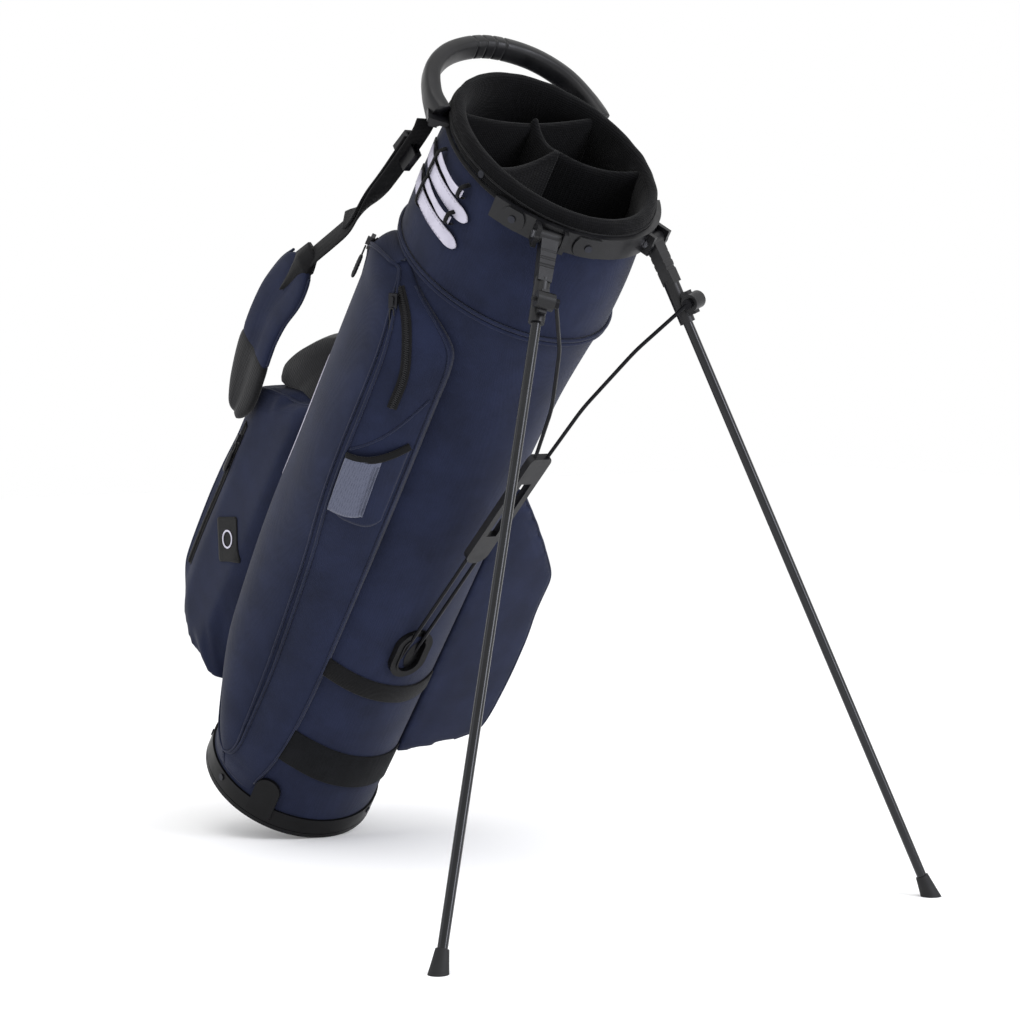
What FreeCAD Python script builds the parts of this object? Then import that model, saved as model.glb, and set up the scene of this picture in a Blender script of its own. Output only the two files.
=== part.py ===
import FreeCAD, Part
import math
import os

# Golf stand bag, resting on its base and two open legs.
#
# The bag is drawn upright first, in the "bag frame": Z runs up the axis of the bag from the
# underside of the base, +X points to the side that the legs are on, and Y is across.
# place() then leans it over onto its legs and sets it on the ground.

V = FreeCAD.Vector

# ---- driving dimensions, millimetres and degrees ----

LEAN = 36.6                 # lean of the bag from upright, with the legs open
RIM_TILT = 4.2              # the mouth slopes down towards the legs

BASE_R = 100.0              # outside radius of the moulded base
BASE_TOP = 26.0             # top of the base skirt
BASE_FLOOR = 6.0            # underside of the base floor
BASE_FLOOR_T = 4.0
BASE_WALL = 2.8
TUBE_R = 97.0               # fabric tube at the base
TUBE_MID_R = 99.0           # fabric tube half way up
TUBE_MID_Z = 400.0
TUBE_HIGH_Z = 600.0
TUBE_HIGH_A = 103.0
TUBE_HIGH_B = 101.0
TUBE_FLARE_Z = 675.0
TUBE_FLARE_A = 113.0
TUBE_FLARE_B = 105.0
SEAM_Z = 718.0              # seam between the tube and the collar panel
SEAM_A = 126.0
SEAM_B = 109.0
COLLAR_X = -8.0             # the mouth is set back, away from the legs
COLLAR_A = 123.0            # half lengths of the mouth, along X and along Y
COLLAR_B = 105.0
COLLAR_TOP = 846.0
FABRIC_T = 2.5
RING_H = 12.0               # moulded mouth ring
RING_OUT = 3.0              # how far the ring stands out from the collar panel
RING_IN = 7.0
PAD_H = 14.0                # padded cuff on the mouth ring
GAP = 0.3                   # between soft solids and their neighbours

DIVIDER_T = 5.0
DIVIDER_LOW = 520.0
DIVIDER_TOP = 836.0
CROSS_X = -66.0             # divider across the mouth
JOIN_X = -16.0              # where the stem meets the two arms
JOIN_Y = 10.0
ARM_X = 25.0                # where the arms reach the wall
ARM_Y = 95.0
STAY_ANGLES = (-120, 120, 50)
STAY_R = 3.0
STAY_TOP = 800.0

HINGE_X = 105.0             # leg hinges
HINGE_Y = 65.0
HINGE_Z = 833.0
SPLAY = 24.8                # each leg swings in a plane this far from straight ahead
OPEN_ANGLE = 52.4           # leg to bag axis when open
BARREL_R = 7.3
BARREL_HALF = 11.0
PIN_R = 2.5
PIN_FIT = 0.05              # running clearance of a hinge pin, on the radius
PIN_HEAD_R = 4.0
PIN_HEAD_H = 1.2
EAR_T = 5.0
EAR_GAP = 0.6
BRACKET_T = 9.0
BRACKET_LOW = 822.0
BRACKET_TOP = 845.0
BRACKET_EDGE_X = 52.0       # the bracket wraps the mouth forward of this

LEG_TUBE_R = 5.0
LEG_TUBE_WALL = 1.2
KNUCKLE_LEN = 90.0
SOCKET_FROM = 58.0
LUG_DOWN = 72.0             # rod lug, along the leg from the hinge
LUG_OUT = 16.0              # and out from the leg's axis
LUG_R = 9.0
LUG_HALF = 9.0
FOOT_TOP_R = 6.5
FOOT_BASE_R = 11.5
FOOT_LEN = 24.0

ROD_R = 2.0
ROD_END_GAP = 1.2
ROD_BOW = 12.0              # the spring rods bow inwards by this
ROD_SPREAD = 8.0            # half distance between the rods at the link
LINK_X = 158.0              # upper end of the link plate
LINK_Z = 604.0
LINK_LEN = 172.0
LINK_W = 26.0
LINK_T = 8.0
LINK_LEAN = 10.5            # link and push rod lean in by this towards the base
WINDOW_LEN = 84.0
WINDOW_W = 12.0
PUSH_HALF = 7.0             # half distance between the two wires of the push rod
PUSH_END_Z = 9.0
ROD_ROOM = 1.0              # all round the push rod in the wall of the tube

GROMMET_Z = 280.0
GROMMET_H = 50.0
GROMMET_W = 30.0
GROMMET_LIP = 7.0
GROMMET_PROUD = 6.0

PLATE_T = 5.2               # foot plate under the base
PLATE_PIN_X = -86.0
PLATE_PIN_Z = 3.0
PLATE_PIN_R = 1.5
PLATE_BARREL_R = 2.7
PLATE_BARREL_HALF = 38.0

POCKET_R = 134.0            # outside radius of the long side pocket
BACK_OUT = 198.0            # outer face of the back pocket
RIGHT_OUT = 186.0           # outer face of the right pocket
RIGHT_FRONT = 70.0          # its front face
BOX_LOW = 88.0
BOX_TOP = 470.0

BAND_SLOPE = -9.0           # the leg strap and the grip band slope this much
STRAP_T = 3.0
WEB_W = 24.0
PAD_T = 16.0
SLIDER_LEN = 15.0
SLIDER_W = 9.0
SLIDER_H = 4.5
PULL_LEN = 32.5
PULL_W = 8.0
PULL_T = 3.0
TAPE_W = 15.0
TAPE_T = 2.0


# ---- helpers ----

def oval(z, cx, a, b, tilt=0.0):
    """Closed oval wire about the bag's axis, half length a along X and b along Y."""
    x_dir = V(math.cos(math.radians(tilt)), 0, -math.sin(math.radians(tilt)))
    centre = V(cx, 0, z)
    if a >= b:
        curve = Part.Ellipse(centre + x_dir * a, centre + V(0, b, 0), centre)
    else:
        curve = Part.Ellipse(centre + V(0, b, 0), centre + x_dir * a, centre)
    return Part.Wire(curve.toShape())


def oval_solid(sections):
    """Solid through ovals given as (z, centre x, a, b) or with a tilt after them."""
    return Part.makeLoft([oval(*s) for s in sections], True, True)


def outline(points, z):
    """Closed smooth wire through a few (x, y) points at height z."""
    curve = Part.BSplineCurve()
    curve.interpolate(Points=[V(x, y, z) for x, y in points], PeriodicFlag=True)
    return Part.Wire(curve.toShape())


def cylinder(radius, start, end):
    run = end - start
    return Part.makeCylinder(radius, run.Length, start, run)


def cone(r1, r2, start, end):
    run = end - start
    return Part.makeCone(r1, r2, run.Length, start, run)


def block(size, centre):
    """Box of the given size about its centre."""
    return Part.makeBox(size[0], size[1], size[2], centre - V(*size) * 0.5)


def frame_at(origin, x_dir, y_dir):
    """Placement whose X and Y axes are the given directions."""
    x = V(x_dir).normalize()
    z = x.cross(y_dir).normalize()
    y = z.cross(x)
    matrix = FreeCAD.Matrix(x.x, y.x, z.x, origin.x, x.y, y.y, z.y, origin.y,
                            x.z, y.z, z.z, origin.z, 0, 0, 0, 1)
    return FreeCAD.Placement(matrix)


def put(shape, placement):
    copy = shape.copy()
    copy.Placement = placement.multiply(copy.Placement)
    return copy


def rounded_path(points, radius):
    """Wire of straight runs joined by tangent arcs of one radius."""
    edges = []
    here = points[0]
    for before, corner, after in zip(points, points[1:], points[2:]):
        back = (before - corner).normalize()
        ahead = (after - corner).normalize()
        half = back.getAngle(ahead) / 2
        reach = radius / math.tan(half)
        start = corner + back * reach
        end = corner + ahead * reach
        inward = (back + ahead).normalize()
        middle = corner + inward * (radius / math.sin(half) - radius)
        edges.append(Part.LineSegment(here, start).toShape())
        edges.append(Part.Arc(start, middle, end).toShape())
        here = end
    edges.append(Part.LineSegment(here, points[-1]).toShape())
    return Part.Wire(edges)


def tube_along(points, bend, radius):
    """Round bar along a rounded path."""
    path = rounded_path(points, bend)
    section = Part.Wire(Part.Circle(points[0], points[1] - points[0], radius).toShape())
    return path.makePipeShell([section], True, True)


def mirror_y(shape):
    return shape.mirror(V(0, 0, 0), V(0, 1, 0))


def around(angle, radius, z):
    """Point at an angle around the axis of the bag, from +X towards +Y."""
    turn = math.radians(angle)
    return V(radius * math.cos(turn), radius * math.sin(turn), z)


# ---- the fabric tube, the collar and the mouth ----

TUBE = [(BASE_FLOOR + BASE_FLOOR_T + GAP, 0, TUBE_R, TUBE_R),
        (TUBE_MID_Z, 0, TUBE_MID_R, TUBE_MID_R),
        (TUBE_HIGH_Z, COLLAR_X / 4, TUBE_HIGH_A, TUBE_HIGH_B),
        (TUBE_FLARE_Z, COLLAR_X / 2, TUBE_FLARE_A, TUBE_FLARE_B),
        (SEAM_Z, COLLAR_X, SEAM_A, SEAM_B)]
COLLAR = [(SEAM_Z, COLLAR_X, SEAM_A + 1, SEAM_B + 1),
          (COLLAR_TOP, COLLAR_X, COLLAR_A, COLLAR_B, RIM_TILT)]


def grown(sections, by):
    return [(s[0], s[1], s[2] + by, s[3] + by) + tuple(s[4:]) for s in sections]


def tube_core(by=0.0):
    """The space inside the outer face of the tube, grown by a clearance."""
    return oval_solid(grown(TUBE, by))


def collar_core(by=0.0):
    return oval_solid(grown(COLLAR, by))


def body_shell():
    shell = tube_core().cut(tube_core(-FABRIC_T))
    hole = block((60, GROMMET_W + 2 * GAP, GROMMET_H + 2 * GAP), V(TUBE_R, 0, GROMMET_Z))
    shell = shell.cut(hole).cut(rod_room())
    for hole in holes_for(skirt_screws()):
        shell = shell.cut(hole)
    return shell


def collar_panel():
    return collar_core().cut(collar_core(-FABRIC_T))


def rim_oval(low, high, out, inside):
    """Oval ring that follows the sloping mouth."""
    outer = [(low, COLLAR_X, COLLAR_A + out, COLLAR_B + out, RIM_TILT),
             (high, COLLAR_X, COLLAR_A + out, COLLAR_B + out, RIM_TILT)]
    inner = [(low - 1, COLLAR_X, COLLAR_A - inside, COLLAR_B - inside, RIM_TILT),
             (high + 1, COLLAR_X, COLLAR_A - inside, COLLAR_B - inside, RIM_TILT)]
    return oval_solid(outer).cut(oval_solid(inner))


def collar_ring():
    ring = rim_oval(COLLAR_TOP + 0.02, COLLAR_TOP + RING_H, RING_OUT, RING_IN)
    for hole in holes_for(rim_screws()):
        ring = ring.cut(hole)
    return ring


def collar_padding():
    low = COLLAR_TOP + RING_H + GAP
    return rim_oval(low, low + PAD_H, RING_OUT - 1, RING_IN + 3)


def rim_point(angle, out, z):
    """Point on the mouth's oval at an angle parameter, out from the collar panel."""
    turn = math.radians(angle)
    x = COLLAR_X + (COLLAR_A + out) * math.cos(turn)
    lift = -(x - COLLAR_X) * math.sin(math.radians(RIM_TILT))
    return V(x, (COLLAR_B + out) * math.sin(turn), z + lift)


def top_handle():
    root_in = 134.0
    ends = [rim_point(angle, RING_OUT + 4, COLLAR_TOP + 6) for angle in (-root_in, root_in)]
    centre = (ends[0] + ends[1]) * 0.5
    half = (ends[1] - ends[0]).Length / 2
    out = V(-92, 0, 30).normalize()
    reach = 84.0
    shoulder = 0.55
    points = [V(0, -half, 0), out * (reach * shoulder) + V(0, -half - 2, 0),
              out * reach + V(0, -half * shoulder, 0), out * reach + V(0, half * shoulder, 0),
              out * (reach * shoulder) + V(0, half + 2, 0), V(0, half, 0)]
    points = [centre + p for p in points]
    grip = tube_along(points, 26.0, 8.5)
    return grip.cut(rim_oval(COLLAR_TOP - 14, COLLAR_TOP + 60, RING_OUT + 0.02, 60))


def divider(x1, y1, x2, y2):
    """Upright panel between two points, trimmed to the inside of the bag."""
    run = V(x2 - x1, y2 - y1, 0)
    height = DIVIDER_TOP - DIVIDER_LOW
    panel = Part.makeBox(run.Length, DIVIDER_T, height)
    panel.translate(V(0, -DIVIDER_T / 2, 0))
    panel = put(panel, frame_at(V(x1, y1, DIVIDER_LOW), run, V(-run.y, run.x, 0)))
    inside = oval_solid(grown(TUBE, -FABRIC_T - GAP)).fuse(
        oval_solid(grown(COLLAR, -FABRIC_T - GAP)))
    return panel.common(inside)


def dividers():
    reach = 140.0
    gap = DIVIDER_T / 2 + GAP
    join = V(JOIN_X, JOIN_Y, 0)
    panels = {"divider_cross": divider(CROSS_X, -reach, CROSS_X, reach),
              "divider_stem": divider(CROSS_X + gap, JOIN_Y, JOIN_X - GAP, JOIN_Y)}
    for name, side in SIDES.items():
        run = (V(ARM_X, side * ARM_Y, 0) - join).normalize()
        start = join + run * (DIVIDER_T + GAP)
        end = join + run * reach
        panels["divider_arm_" + name] = divider(start.x, start.y, end.x, end.y)
    return panels


def stay_rods():
    """Three glass-fibre stays that keep the soft tube its full length."""
    radius = TUBE_R - FABRIC_T - STAY_R - 2 * GAP
    foot = BASE_FLOOR + BASE_FLOOR_T + 2 * GAP
    rods = [cylinder(STAY_R, around(a, radius, foot), around(a, radius, STAY_TOP))
            for a in STAY_ANGLES]
    return Part.makeCompound(rods)


# ---- the moulded base ----

SKIRT_SCREWS = (-165, -130, -86, -50, 35, 95, 160)
RIM_SCREWS = (-76, 76)
BRACKET_SCREWS = (-52, -14, 52)
PLATE_ANGLES = (-52, -14)
SCREW_R = 2.0
SCREW_HEAD_R = 3.8
SCREW_HEAD_H = 1.4


def screw(at, inward, length):
    """Pan-head screw: its head stands on the surface at the point given."""
    inward = V(inward).normalize()
    return cylinder(SCREW_R, at, at + inward * length).fuse(
        cylinder(SCREW_HEAD_R, at - inward * SCREW_HEAD_H, at))


def rim_screws():
    """(point on the surface, direction inwards, length) of the screws on the mouth."""
    places = []
    for angle in RIM_SCREWS:
        at = rim_point(angle, RING_OUT + 0.02, COLLAR_TOP + RING_H / 2)
        places.append((at, outward_at(angle) * -1, 5.0))
    for angle in BRACKET_SCREWS:
        plate = PLATE_ON_BRACKET if angle in PLATE_ANGLES else 0.0
        at = bracket_point(angle, (BRACKET_LOW + BRACKET_TOP) / 2, plate)
        places.append((at, outward_at(angle) * -1, 5.0))
    return places


def outward_at(angle):
    """Direction straight out of the mouth's oval."""
    turn = math.radians(angle)
    return V(COLLAR_B * math.cos(turn), COLLAR_A * math.sin(turn), 0).normalize()


def skirt_screws():
    z = (BASE_FLOOR + BASE_FLOOR_T + BASE_TOP) / 2
    return [(around(a, BASE_R + 0.02, z), around(a, -1, 0), BASE_WALL - 0.1)
            for a in SKIRT_SCREWS]


def holes_for(screws):
    """A clearance hole for the shank of each screw."""
    holes = []
    for at, inward, length in screws:
        inward = V(inward).normalize()
        holes.append(cylinder(SCREW_R + 0.05, at - inward, at + inward * (length + 0.5)))
    return holes


def body_screws():
    return Part.makeCompound([screw(*place) for place in skirt_screws() + rim_screws()])


def base_cup():
    cup = Part.makeCylinder(BASE_R, BASE_TOP - BASE_FLOOR, V(0, 0, BASE_FLOOR))
    cup = cup.cut(Part.makeCylinder(TUBE_R + GAP, BASE_TOP,
                                    V(0, 0, BASE_FLOOR + BASE_FLOOR_T)))
    heel_x = PLATE_PIN_X - PLATE_BARREL_R - 1.5
    disc = Part.makeCylinder(BASE_R, BASE_FLOOR)
    heel = disc.common(Part.makeBox(BASE_R, 2 * BASE_R, BASE_FLOOR,
                                    V(heel_x - BASE_R, -BASE_R, 0)))
    cup = cup.fuse(heel)
    lug_w = 8.0
    for side in (-1, 1):
        y = side * (PLATE_BARREL_HALF + 0.6 + lug_w / 2)
        lug = block((10.0, lug_w, BASE_FLOOR), V(PLATE_PIN_X, y, BASE_FLOOR / 2))
        cup = cup.fuse(lug.common(disc))
    reach = PLATE_BARREL_HALF + 0.6 + lug_w
    cup = cup.cut(cylinder(PLATE_PIN_R + 0.02, V(PLATE_PIN_X, -reach, PLATE_PIN_Z),
                           V(PLATE_PIN_X, reach, PLATE_PIN_Z)))
    cup = cup.cut(block((34, 2 * PUSH_HALF + 2 * ROD_R + 8, 30), V(push_x(0) + 2, 0, 0)))
    for hole in holes_for(skirt_screws()):
        cup = cup.cut(hole)
    return cup.removeSplitter()


def base_tab():
    """Pull tab on the skirt, for the hand that lifts the bag's foot."""
    angle = -51
    tab = Part.makeBox(4.0, 30.0, 36.0, V(0, -15, 0))
    tab = tab.fuse(cylinder(15.0, V(0, 0, 36), V(4, 0, 36)))
    tab = put(tab, frame_at(around(angle, BASE_R - 1, BASE_TOP - 14), around(angle, 1, 0),
                            around(angle + 90, 1, 0)))
    tab = tab.cut(Part.makeCylinder(BASE_R + 0.05, BASE_TOP + 0.1))
    tab = tab.cut(tube_core(GAP))
    for hole in holes_for(skirt_screws()):
        tab = tab.cut(hole)
    heads = [screw(*p) for p in skirt_screws()]
    for head in heads:
        tab = tab.cut(head)
    return tab


def foot_plate():
    plate = Part.makeCylinder(BASE_R, PLATE_T)
    front_of = PLATE_PIN_X + PLATE_BARREL_R + 3.5
    plate = plate.common(Part.makeBox(2 * BASE_R, 2 * BASE_R, PLATE_T,
                                      V(front_of, -BASE_R, 0)))
    start = V(PLATE_PIN_X, -PLATE_BARREL_HALF, PLATE_PIN_Z)
    end = V(PLATE_PIN_X, PLATE_BARREL_HALF, PLATE_PIN_Z)
    web = block((front_of + 2 - PLATE_PIN_X, 2 * PLATE_BARREL_HALF, 4.0),
                V((front_of + 2 + PLATE_PIN_X) / 2, 0, PLATE_PIN_Z))
    plate = plate.fuse([cylinder(PLATE_BARREL_R, start, end), web])
    return plate.cut(cylinder(PLATE_PIN_R + PIN_FIT, start, end)).removeSplitter()


def foot_hinge_pin():
    reach = PLATE_BARREL_HALF + 0.6 + 8.0
    return cylinder(PLATE_PIN_R, V(PLATE_PIN_X, -reach, PLATE_PIN_Z),
                    V(PLATE_PIN_X, reach, PLATE_PIN_Z))


# ---- the stand ----

PLATE_ON_BRACKET = 2.5
SIDES = {"left": -1, "right": 1}


def leg_axis(side):
    """Direction of a leg hinge: positive turns fold the leg."""
    turn = math.radians(SPLAY)
    return V(-side * math.sin(turn), math.cos(turn), 0)


def leg_outward(side):
    turn = math.radians(SPLAY)
    return V(math.cos(turn), side * math.sin(turn), 0)


def hinge(side):
    return V(HINGE_X, side * HINGE_Y, HINGE_Z)


def leg_placement(side, angle=OPEN_ANGLE):
    """From the leg's own frame (-Z down the leg, +X away from the bag) to the bag frame."""
    swing = FreeCAD.Rotation(V(0, 1, 0), -angle)
    turn = FreeCAD.Rotation(V(0, 0, 1), side * SPLAY)
    return FreeCAD.Placement(hinge(side), turn.multiply(swing))


def bracket_point(angle, z, out):
    """Point on the bracket's outer face."""
    turn = math.radians(angle)
    return V(COLLAR_X + (COLLAR_A + BRACKET_T + out + 1.02) * math.cos(turn),
             (COLLAR_B + BRACKET_T + out + 1.02) * math.sin(turn), z)


def bracket_band(inner, outer, low, high):
    """Part of an oval band on the legs' side of the mouth."""
    band = oval_solid([(low, COLLAR_X, COLLAR_A + outer, COLLAR_B + outer),
                       (high, COLLAR_X, COLLAR_A + outer, COLLAR_B + outer)])
    band = band.cut(oval_solid([(low - 1, COLLAR_X, COLLAR_A + inner, COLLAR_B + inner),
                                (high + 1, COLLAR_X, COLLAR_A + inner, COLLAR_B + inner)]))
    return band.common(Part.makeBox(200, 400, 60, V(BRACKET_EDGE_X, -200, low - 10)))


def stand_bracket():
    bracket = bracket_band(1.0, 1.0 + BRACKET_T, BRACKET_LOW, BRACKET_TOP)
    cuts = []
    for side in SIDES.values():
        axis = leg_axis(side)
        out = leg_outward(side)
        place = frame_at(hinge(side), out, axis)
        ear_at = BARREL_HALF + EAR_GAP + EAR_T / 2
        for end in (-1, 1):
            ear = block((18.0, EAR_T, 22.0), V(-1.0, end * ear_at, 0.5))
            ear = ear.fuse(cylinder(8.5, V(0, end * ear_at - EAR_T / 2, 0),
                                    V(0, end * ear_at + EAR_T / 2, 0)))
            bracket = bracket.fuse(put(ear, place))
        room = BARREL_HALF + EAR_GAP
        reach = ear_at + EAR_T / 2
        slot = cylinder(BARREL_R + 0.5, V(0, -room, 0), V(0, room, 0))
        slot = slot.fuse(Part.makeBox(40, 2 * room, 40, V(-BARREL_R - 0.7, -room, -40)))
        slot = slot.fuse(Part.makeBox(40, 2 * room, 40, V(0, -room, -20)))
        cuts.append(put(slot, place))
        cuts.append(put(cylinder(PIN_R + 0.02, V(0, -reach, 0), V(0, reach, 0)), place))
        for end in (-1, 1):
            cuts.append(put(cylinder(PIN_HEAD_R + GAP, V(0, end * reach, 0),
                                     V(0, end * (reach + 2 * PIN_HEAD_H), 0)), place))
    for cut in cuts:
        bracket = bracket.cut(cut)
    bracket = bracket.cut(collar_core(0.3))
    bracket = bracket.cut(rim_oval(COLLAR_TOP, COLLAR_TOP + RING_H, RING_OUT + 0.05, COLLAR_B / 2))
    for hole in holes_for(rim_screws()):
        bracket = bracket.cut(hole)
    return bracket


def bracket_plate(angle):
    """Cover plate screwed over the bracket."""
    band = bracket_band(1.02 + BRACKET_T, 1.0 + BRACKET_T + PLATE_ON_BRACKET,
                        BRACKET_LOW + 1, BRACKET_TOP - 1)
    at = bracket_point(angle, (BRACKET_LOW + BRACKET_TOP) / 2, 0)
    plate = band.common(cylinder(15.0, at - V(30, 0, 0), at + V(30, 0, 0))
                        if abs(angle) < 20 else
                        cylinder(13.0, at + around(angle, -30, 0), at + around(angle, 30, 0)))
    for side in SIDES.values():
        place = frame_at(hinge(side), leg_outward(side), leg_axis(side))
        room = BARREL_HALF + EAR_GAP + EAR_T + 0.3
        plate = plate.cut(put(block((60, 2 * room, 60), V(0, 0, 0)), place))
    for hole in holes_for(rim_screws()):
        plate = plate.cut(hole)
    return plate


def leg_hinge_pins():
    pins = []
    reach = BARREL_HALF + EAR_GAP + EAR_T
    for side in SIDES.values():
        place = frame_at(hinge(side), leg_outward(side), leg_axis(side))
        pin = cylinder(PIN_R, V(0, -reach, 0), V(0, reach, 0))
        for end in (-1, 1):
            head = cylinder(PIN_HEAD_R, V(0, end * (reach + 0.02), 0),
                            V(0, end * (reach + PIN_HEAD_H), 0))
            neck = cylinder(PIN_R, V(0, end * (reach - 1), 0), V(0, end * (reach + 1), 0))
            pin = pin.fuse([head, neck])
        pins.append(put(pin, place))
    return Part.makeCompound(pins)


def leg_knuckle(side):
    """Moulded arm: hinge barrel, tapering ribbed arm, rod lug and tube socket."""
    barrel = cylinder(BARREL_R, V(0, -BARREL_HALF, 0), V(0, BARREL_HALF, 0))
    top = Part.makePolygon([V(-6, -9, 0), V(6, -9, 0), V(6, 9, 0), V(-6, 9, 0), V(-6, -9, 0)])
    low = Part.makePolygon([V(-6, -7, -48), V(8, -7, -48), V(8, 7, -48), V(-6, 7, -48),
                            V(-6, -7, -48)])
    arm = Part.makeLoft([top, low], True, True)
    socket = cylinder(8.0, V(0, 0, -44), V(0, 0, -KNUCKLE_LEN))
    lug_at = V(LUG_OUT, 0, -LUG_DOWN)
    lug = cylinder(LUG_R, lug_at - V(0, LUG_HALF, 0), lug_at + V(0, LUG_HALF, 0))
    rib = block((LUG_OUT, 8.0, 24.0), V(LUG_OUT / 2, 0, -LUG_DOWN))
    knuckle = barrel.fuse([arm, socket, lug, rib])
    for z in (-16, -24, -32):
        for x in (-7.5, 8.5):
            knuckle = knuckle.cut(cylinder(2.2, V(x, -12, z), V(x, 12, z)))
    knuckle = knuckle.cut(cylinder(PIN_R + PIN_FIT, V(0, -12, 0), V(0, 12, 0)))
    knuckle = knuckle.cut(cylinder(LEG_TUBE_R + 0.02, V(0, 0, -SOCKET_FROM),
                                   V(0, 0, -KNUCKLE_LEN - 1)))
    stub = cylinder(2.2, lug_at - V(0, side * LUG_HALF * 0.5, 0),
                    lug_at + V(0, side * (LUG_HALF + 4), 0))
    return put(knuckle.fuse(stub).removeSplitter(), leg_placement(side))


def leg_length():
    """From the hinge down the open leg to the ground."""
    down = leg_placement(1).Rotation.multVec(V(0, 0, -1))
    return place_point(hinge(1)).z / -turn_vector(down).z


def leg_tube(side):
    start = -SOCKET_FROM
    end = -(leg_length() - 12)
    tube = cylinder(LEG_TUBE_R, V(0, 0, start), V(0, 0, end))
    tube = tube.cut(cylinder(LEG_TUBE_R - LEG_TUBE_WALL, V(0, 0, start + 1), V(0, 0, end - 1)))
    return put(tube, leg_placement(side))


def leg_foot(side):
    """Flared rubber foot, flat where it stands on the ground. Made in the part's frame."""
    length = leg_length()
    foot = cone(FOOT_TOP_R, FOOT_BASE_R, V(0, 0, 10 - length - 1 + FOOT_LEN - 10),
                V(0, 0, -length - 12))
    foot = foot.cut(cylinder(LEG_TUBE_R + 0.02, V(0, 0, 0), V(0, 0, 12 - length)))
    foot = place(put(foot, leg_placement(side)))
    return foot.cut(Part.makeBox(2000, 2000, 200, V(-1000, -1000, -200)))


def link_direction():
    turn = math.radians(LINK_LEAN)
    return V(-math.sin(turn), 0, -math.cos(turn))


def push_x(z):
    """Distance of the push rod from the bag's axis at a height."""
    return LINK_X - (LINK_Z - z) * math.tan(math.radians(LINK_LEAN))


def link_point(along, y=0.0, out=0.0):
    down = link_direction()
    outward = V(-down.z, 0, down.x)
    return V(LINK_X, y, LINK_Z) + down * along + outward * out


def rod_connector():
    """Flat link with a window; the spring rods join its top and the push rod its foot."""
    rounded = LINK_W / 2
    bar = block((LINK_T, LINK_W, LINK_LEN - 2 * rounded), V(0, 0, -LINK_LEN / 2))
    for z in (-rounded, rounded - LINK_LEN):
        bar = bar.fuse(cylinder(rounded, V(-LINK_T / 2, 0, z), V(LINK_T / 2, 0, z)))
    window = block((2 * LINK_T, WINDOW_W, WINDOW_LEN), V(0, 0, -LINK_LEN / 2))
    bar = bar.cut(window)
    for y in (-PUSH_HALF, PUSH_HALF):
        bar = bar.cut(cylinder(ROD_R + 0.02, V(0, y, -LINK_LEN - 1), V(0, y, -LINK_LEN + 26)))
    flat = block((2 * LINK_T, 2 * LINK_W, 6), V(0, 0, 3 - 5.0))
    bar = bar.cut(flat)
    turn = FreeCAD.Rotation(V(0, 1, 0), LINK_LEAN)
    return put(bar.removeSplitter(), FreeCAD.Placement(V(LINK_X, 0, LINK_Z), turn))


def push_rod():
    """U of spring steel from the link, through the grommet, down to the foot plate."""
    end = (LINK_Z - PUSH_END_Z) / math.cos(math.radians(LINK_LEAN))
    top = LINK_LEN - 25
    points = [link_point(top, -PUSH_HALF), link_point(end, -PUSH_HALF),
              link_point(end, PUSH_HALF), link_point(top, PUSH_HALF)]
    return tube_along(points, 5.0, ROD_R)


def rod_top(side, angle=OPEN_ANGLE):
    """Where a spring rod's eye lies beside the lug of its knuckle."""
    inboard = LUG_HALF + ROD_END_GAP + ROD_R
    return leg_placement(side, angle).multVec(V(LUG_OUT, -side * inboard, -LUG_DOWN))


def rod_foot(side):
    return link_point(5.0 - 1.2, side * ROD_SPREAD)


def upper_rod(side):
    top = rod_top(side)
    foot = rod_foot(side)
    inboard = V(0, -side, 0)
    points = [top, top + (foot - top) * 0.3 + inboard * ROD_BOW,
              top + (foot - top) * 0.68 + inboard * ROD_BOW, foot]
    rod = tube_along(points, 140.0, ROD_R)
    axis = leg_axis(side)
    eye = cylinder(5.0, top - axis * ROD_R, top + axis * ROD_R)
    return rod.fuse(eye).removeSplitter()


def rod_room():
    """Room for the push rod where it runs through the wall of the tube."""
    reach = 2 * (PUSH_HALF + ROD_R + ROD_ROOM)
    length = 3 * GROMMET_H
    room = block((2 * (ROD_R + ROD_ROOM), reach, length), V(0, 0, 0))
    turn = FreeCAD.Rotation(V(0, 1, 0), LINK_LEAN)
    return put(room, FreeCAD.Placement(V(push_x(GROMMET_Z), 0, GROMMET_Z), turn))


def rod_grommet():
    """Oval moulded cup that the push rod slides through."""
    def oval_bar(height, width, depth):
        bar = block((depth, width, height - width), V(0, 0, 0))
        for z in (-(height - width) / 2, (height - width) / 2):
            bar = bar.fuse(cylinder(width / 2, V(-depth / 2, 0, z), V(depth / 2, 0, z)))
        return bar
    at = V(TUBE_R + 1, 0, GROMMET_Z)
    flange = oval_bar(GROMMET_H + 2 * GROMMET_LIP, GROMMET_W + 2 * GROMMET_LIP, 30.0)
    flange.translate(V(TUBE_R + GROMMET_PROUD - 15, 0, GROMMET_Z))
    flange = flange.cut(tube_core(0.05))
    neck = oval_bar(GROMMET_H, GROMMET_W, 12.0)
    neck.translate(at)
    cup = flange.fuse(neck)
    hole = oval_bar(GROMMET_H - 4, GROMMET_W - 4, 60.0)
    hole.translate(at)
    return cup.cut(hole).cut(rod_room())


# ---- pockets and soft parts ----

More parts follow.
